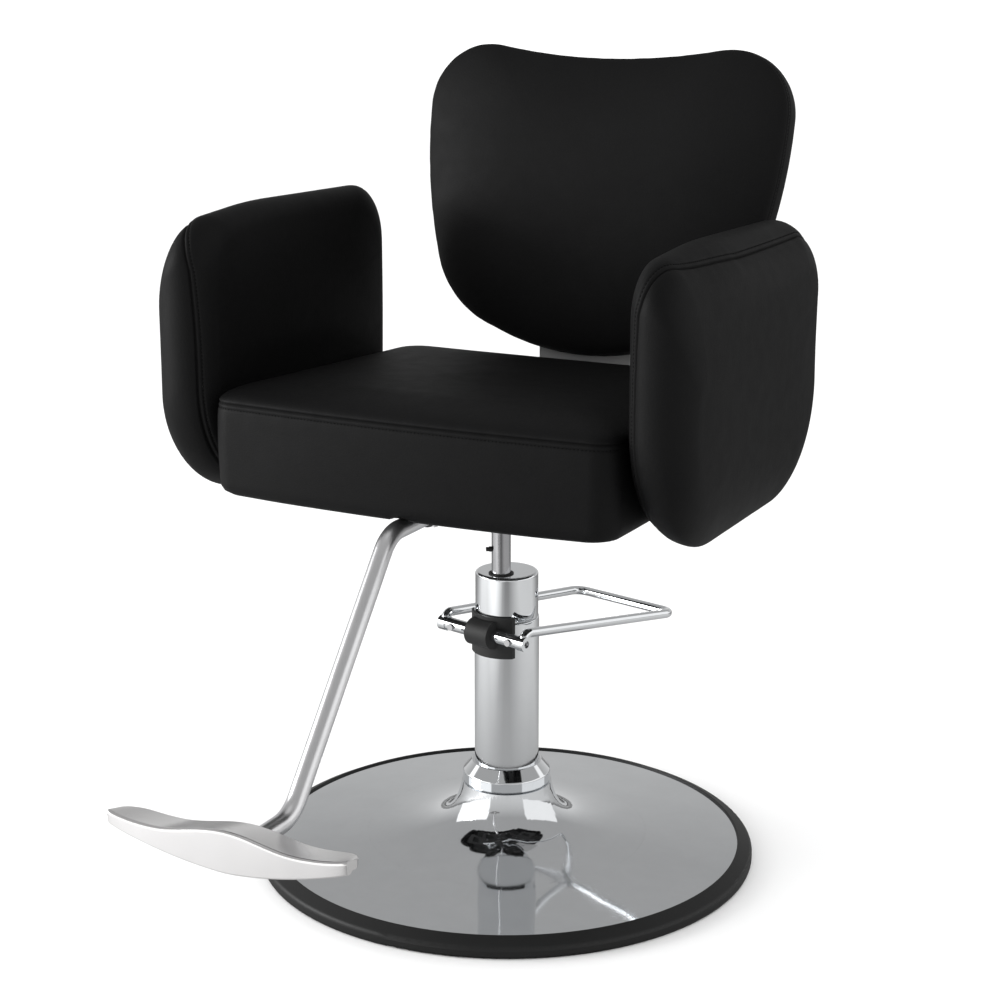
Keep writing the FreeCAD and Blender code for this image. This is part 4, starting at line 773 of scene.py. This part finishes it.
# one arm: the blown form mirrored to its side, its top a little up or down by hand, then seam, stitches and names
def makeArm(a, blown, seamRow, hand, side):
    high = np.clip((blown[..., 2] - a["swingFrom"]) / (a["top"] - a["swingFrom"]), 0.0, 1.0)
    rings = np.stack([hand * blown[..., 0], blown[..., 1], blown[..., 2] - hand * a["swing"] * high], -1)
    away = acrossRows(rings, seamRow)
    rings = pressSeam(rings, away, lengths(rings[seamRow])[None, :], a)
    # the cover carries the painted shade along its seam
    pad = buildRings("armCover_" + side, rings, "vinyl", seamPaintedShade(away, a))
    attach(pad, "chair")
    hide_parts("arm_pad_" + side)
    normal = ringNormals(rings)
    cols = np.arange(rings.shape[1])
    for k, spot in enumerate(a["rows"]):
        row = np.argmax(away > spot, axis=0)
        part = ((spot - away[row - 1, cols]) / (away[row, cols] - away[row - 1, cols]))[:, None]
        path, rise = (grid[row - 1, cols] * (1 - part) + grid[row, cols] * part for grid in (rings, normal))
        sewThread("armThread%d_%s" % (k, side), path, rise, a)


armForm, armSeamRow = swollenArm(armPad)
makeArm(armPad, armForm, armSeamRow, 1, "left")
makeArm(armPad, armForm, armSeamRow, -1, "right")
print("arms made")


# back: shield outline of arcs, leaned from its foot, with boxing, a seam and a crowned front; angles in degrees
backPad = {
    **sewing,
    "lean": 12.4, "footY": 0.211, "footZ": 0.578, "halfWidth": 0.243, "height": 0.386, "peak": 0.164, "dip": 10.2,
    "sideRadius": 0.635, "sideTurn": 19.2, "soleRadius": 0.320, "soleTurn": 22.8,
    "rear": 0.020, "edge": 0.014, "crown": 0.022, "crownReach": 0.150, "drawIn": 0.0025, "poleReach": 0.1,
    "start": 0.0020, "heldDeep": 0.006, "cols": 340, "arcPoints": 400,
    "crease": 0.0017, "valley": 0.0010, "valleyWide": 0.008, "rows": (-0.005,),
    "panel": 0.007, "panelRoll": 0.016, "panelInset": 0.005, "panelGap": 0.0001, "panelDome": 0.0025,
}


# one circular arc from a start, a middle and an end point, about the centre that is as far from all three
def threePointArc(start, middle, end, count):
    ax, ay, bx, by, cx, cy = *start, *middle, *end
    aa, bb, cc = ax * ax + ay * ay, bx * bx + by * by, cx * cx + cy * cy
    twice = 2 * (ax * (by - cy) + bx * (cy - ay) + cx * (ay - by))
    ux = (aa * (by - cy) + bb * (cy - ay) + cc * (ay - by)) / twice
    uy = (aa * (cx - bx) + bb * (ax - cx) + cc * (bx - ax)) / twice
    first = math.atan2(ay - uy, ax - ux)
    sweep = lambda p: (math.atan2(p[1] - uy, p[0] - ux) - first) % (2 * math.pi)
    span = sweep(end) if sweep(middle) < sweep(end) else sweep(end) - 2 * math.pi
    turn = first + span * np.linspace(0.0, 1.0, count)[:-1]
    radius = math.hypot(ax - ux, ay - uy)
    return np.stack([ux + radius * np.cos(turn), uy + radius * np.sin(turn)], -1)


# shield: tangent arcs for sole, knee, side, shoulder and dip on one side, then the same mirrored, at even steps
def backOutline(b):
    shoulder = b["halfWidth"] - b["peak"]
    dip, flare, sole = (math.radians(b[k]) for k in ("dip", "sideTurn", "soleTurn"))
    shoulderAt = b["height"] - shoulder
    dipX, dipAt = b["peak"] - shoulder * math.sin(dip), shoulderAt + shoulder * math.cos(dip)
    dipSag = dipX * math.tan(dip / 2)

    def onSide(turn):
        drop = b["sideRadius"] * math.sin(turn)
        return b["halfWidth"] - b["sideRadius"] * (1 - math.cos(turn)), shoulderAt - drop

    hip, rib = onSide(flare), onSide(flare / 2)
    toe = (b["soleRadius"] * math.sin(sole), b["soleRadius"] * (1 - math.cos(sole)))
    chord = math.hypot(hip[0] - toe[0], hip[1] - toe[1])
    sag = chord / 2 * math.tan((math.pi / 2 - flare - sole) / 4)
    knee = ((hip[0] + toe[0]) / 2 + sag * (hip[1] - toe[1]) / chord,
            (hip[1] + toe[1]) / 2 - sag * (hip[0] - toe[0]) / chord)
    slant = (dip + math.pi / 2) / 2
    brow = (b["peak"] + shoulder * math.cos(slant), shoulderAt + shoulder * math.sin(slant))
    half = [toe, knee, hip, rib, (b["halfWidth"], shoulderAt), brow, (dipX, dipAt)]
    mirrored = [(-x, y) for x, y in reversed(half)]
    stops = [mirrored[-1], (0, 0)] + half + [(0, dipAt - dipSag)] + mirrored
    arcs = [threePointArc(*stops[k:k + 3], b["arcPoints"]) for k in range(0, len(stops) - 2, 2)]
    loop = np.vstack([*arcs, arcs[0][:1]])
    run = lengths(loop)
    at = np.linspace(0.0, run[-1], b["cols"] + 1)[:-1]
    return np.stack([np.interp(at, run, loop[:, k]) for k in range(2)], -1)


# points of the back from across, along and depth, leaned about the foot
def backPoints(b, across, along, depth):
    lean = math.radians(b["lean"])
    y = b["footY"] + along * math.sin(lean) - depth * math.cos(lean)
    z = b["footZ"] + along * math.cos(lean) + depth * math.sin(lean)
    return np.stack([np.broadcast_to(across, y.shape), y, z], -1)


# rings of the shield: moved in by an inset, then scaled to the middle
def backSheets(b, inset, depth, share):
    outline = backOutline(b)
    wide = (b["halfWidth"] - inset) / b["halfWidth"]
    tall = (b["height"] - 2 * inset) / b["height"]
    across = outline[None, :, 0] * (wide * share)[:, None]
    along = b["height"] / 2 + (outline[None, :, 1] - b["height"] / 2) * (tall * share)[:, None]
    return backPoints(b, across, along, np.broadcast_to(depth[:, None], across.shape))


# inset, depth and share of the shield, from the pole behind, over boxing and seam, to the pole of the crown
def makeBack(b):
    turn = np.radians(np.linspace(0.0, 90.0, 60))
    boxing = np.linspace(0.0, 1.0, 40)
    gap, edge, rear = b["start"], b["edge"] - b["start"], b["rear"]
    drawn = b["drawIn"] * (1 - np.sin(math.pi / 2 * np.minimum(1, boxing * 2)))
    tall = rear + b["edge"] - gap
    parts = [
        strip(b["drawIn"] + gap, -rear, np.linspace(0.03, 1.0, 16)),
        strip(gap + drawn, -rear + tall * boxing, 1)[1:],
        strip(gap + b["crownReach"] * (1 - np.cos(turn)), edge + b["crown"] * np.sin(turn), 1)[1:],
        strip(gap + b["crownReach"], edge + b["crown"], np.linspace(1.0, 0.03, 30))[1:],
    ]
    profile = np.vstack(parts)
    run = lengths(np.stack([profile[:, 0] + (1 - profile[:, 2]) * b["poleReach"], profile[:, 1]], -1))
    seamAt = run[sum(len(part) for part in parts[:2]) - 1]
    steps = seamSteps(run[-1], [seamAt] + [seamAt + spot for spot in b["rows"]], seamGrid)
    away = steps - seamAt
    rings = backSheets(b, *(np.interp(steps, run, profile[:, k]) for k in range(3)))
    lean = math.radians(b["lean"])
    depthOf = lambda p: -(p[:, 1] - b["footY"]) * math.cos(lean) + (p[:, 2] - b["footZ"]) * math.sin(lean)
    rings = swell("backCover", rings, lambda p: depthOf(p) < -rear + b["heldDeep"], b)
    around = lengths(rings[int(np.argmin(np.abs(away)))])
    rings = pressSeam(rings, away[:, None], around[None, :], b)
    # painted shade along the seam, by point
    seam = np.repeat(seamPaintedShade(away, b)[:, None], rings.shape[1], 1)
    pad = buildRings("backCover", rings, "vinyl", seam)
    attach(pad, "chair")
    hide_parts("back_pad")
    sewRows("backThread", rings, away, b)


# rear panel: the same shield, a little smaller, with a rolled edge and a gently domed face
def makeRearPanel(b):
    turn = np.radians(np.linspace(0.0, 90.0, 24))
    rim, face = np.linspace(0.03, 1.0, 12), np.linspace(1.0, 0.02, 40)
    front = -b["rear"] - b["panelGap"]
    profile = np.vstack([
        strip(b["panelInset"], front, rim),
        strip(b["panelInset"] + b["panelRoll"] * (1 - np.cos(turn)),
              front - (b["panel"] - 2 * b["panelGap"]) * np.sin(turn), 1),
        strip(b["panelInset"] + b["panelRoll"], -b["rear"] - b["panel"] - b["panelDome"] * (1 - face ** 2), face),
    ])
    panel = buildRings("rearPanelCover", backSheets(b, *profile.T), "vinyl")
    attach(panel, "chair")
    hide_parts("back_panel")


makeBack(backPad)
makeRearPanel(backPad)
print("back made")


# pale floor, studio light and a white surround; in mirrors the floor is gray with painted light and shade, and a bright
# panel stands on either side
studio = {
    "floor": (0.93, 0.93, 0.93), "floorShade": 0.99, "floorCloud": (1.5, 2.0), "floorReach": 14,
    "floorGloss": 0.8, "floorSpecular": 0.1,
    # painted light and shade of the floor in mirrors, by distance: near and its tone, far and its tone, or from, to and
    # the tone
    "ahead": (0.40, 0.36, 1.50, 0.14), "beside": (0.10, 0.80, 0.58), "behind": (0.25, 0.90, 0.20),
    "corner": (0.30, 0.80, 0.92),
    "white": 1.25, "up": 0.42, "upFrom": 0.72, "level": 0.72, "down": 0.5,
    "panelLeft": 1.5, "panelRight": 1.1, "panelTurn": 0.1,
    "panelFrom": 0.62, "panelBack": 0.45, "panelHigh": 0.5, "panelFade": 0.03,
    # name, place, target, width, height, watts
    "lights": (
        ("leftBox", (-2.28, -1.26, 1.0), (0.0, 0.0, 0.5), 1.4, 1.0, 40.0),
        ("overheadBox", (0.1, 0.2, 3.2), (0.0, 0.0, 0.4), 1.6, 1.6, 2.0),
    ),
}


def hangLights(s):
    for name, place, target, wide, tall, power in s["lights"]:
        lamp = bpy.data.lights.new(name, "AREA")
        lamp.shape = "RECTANGLE"
        lamp.size, lamp.size_y, lamp.energy = wide, tall, power
        back = unit(np.array(place) - np.array(target))
        box = bpy.data.objects.new(name, lamp)
        box.matrix_world = standing(unit(np.cross([0.0, 0.0, 1.0], back)), back, place)
        scene.collection.objects.link(box)


# across, ahead and high, turned to the side of the room that the photograph is taken from
def facing(tree, way):
    turned = addNode(tree, "VectorRotate", {"rotation_type": "Z_AXIS"}, Vector=way, Angle=-math.radians(eye["turn"]))
    return addNode(tree, "SeparateXYZ", Vector=turned.outputs[0]).outputs[:]


def grayTone(value):
    return value, value, value


# walls of the room by direction, with a bright panel to the left and the right
def paintRoom(s):
    world = bpy.data.worlds.new("studio")
    scene.world = world
    world.use_nodes = True
    tree = world.node_tree
    tree.nodes.clear()
    across, ahead, high = facing(tree, addNode(tree, "TexCoord").outputs["Generated"])
    tone = ramp(tree, mapped(tree, high, -1.0, 1.0), [
        (0.0, grayTone(s["down"])), (0.5, grayTone(s["level"])),
        (s["upFrom"], grayTone(s["up"])), (1.0, grayTone(s["up"])),
    ])
    fade = s["panelFade"]
    begin = mapped(tree, maths(tree, "ABSOLUTE", across), s["panelFrom"], s["panelFrom"] + fade)
    below = mapped(tree, high, s["panelHigh"], s["panelHigh"] + fade, 1.0, 0.0)
    before = mapped(tree, ahead, s["panelBack"], s["panelBack"] + fade, 1.0, 0.0)
    inside = maths(tree, "MULTIPLY", maths(tree, "MULTIPLY", begin, below), before)
    panel = mapped(tree, across, -s["panelTurn"], s["panelTurn"], s["panelLeft"], s["panelRight"])
    room = addNode(tree, "Background", Color=mixed(tree, inside, tone, panel), Strength=1.0)
    white = addNode(tree, "Background", Color=(1.0, 1.0, 1.0, 1.0), Strength=s["white"])
    rays = addNode(tree, "LightPath").outputs
    plain = maths(tree, "MAXIMUM", rays["Is Camera Ray"], rays["Is Diffuse Ray"])
    both = addNode(tree, "MixShader", i0=plain, i1=room.outputs[0], i2=white.outputs[0])
    addNode(tree, "OutputWorld", Surface=both.outputs[0])


# floor: plain to the eye, and in mirrors a gray of painted light and shade that follows the distance ahead, beside,
# behind and to the near left, where it is painted lighter
def layFloor(s):
    finish, tree, shader, place = newFinish("paleFloor")
    cloud = noise(tree, place, *s["floorCloud"])
    tone = ramp(tree, cloud, [(0.2, shaded(s["floor"], s["floorShade"])), (0.8, s["floor"])])
    across, ahead = facing(tree, place)[:2]
    # painted light and shade: the floor's tone in mirrors changes with the distance ahead, beside and behind
    near, nearTone, far, farTone = s["ahead"]
    gray = mapped(tree, ahead, -near, -far, nearTone, farTone)
    first, last, sideTone = s["beside"]
    apart = mapped(tree, maths(tree, "ABSOLUTE", across), first, last)
    gray = mixed(tree, apart, gray, (*grayTone(sideTone), 1.0))
    first, last, rearTone = s["behind"]
    gray = mixed(tree, mapped(tree, ahead, first, last), gray, (*grayTone(rearTone), 1.0))
    # painted light: the near left of the floor is lighter in mirrors
    first, last, cornerTone = s["corner"]
    fore, left = (mapped(tree, way, -first, -last) for way in (ahead, across))
    gray = mixed(tree, maths(tree, "MULTIPLY", fore, left), gray, (*grayTone(cornerTone), 1.0))
    # the painted light and shade shows only in mirrors; to the eye the floor stays plain
    mirrored = addNode(tree, "LightPath").outputs["Is Glossy Ray"]
    setInputs(tree, shader, {
        "Base Color": mixed(tree, mirrored, tone, gray),
        "Roughness": s["floorGloss"],
        "Specular IOR Level": s["floorSpecular"],
    })
    r = s["floorReach"]
    ground = bpy.data.meshes.new("studioFloor")
    ground.from_pydata([(-r, -r, 0), (r, -r, 0), (r, r, 0), (-r, r, 0)], [], [(0, 1, 2, 3)])
    ground.materials.append(finish)
    floor = bpy.data.objects.new("studioFloor", ground)
    scene.collection.objects.link(floor)


hangLights(studio)
paintRoom(studio)
layFloor(studio)
scene.view_settings.view_transform = "Standard"
scene.view_settings.look = "None"
print("studio lit")
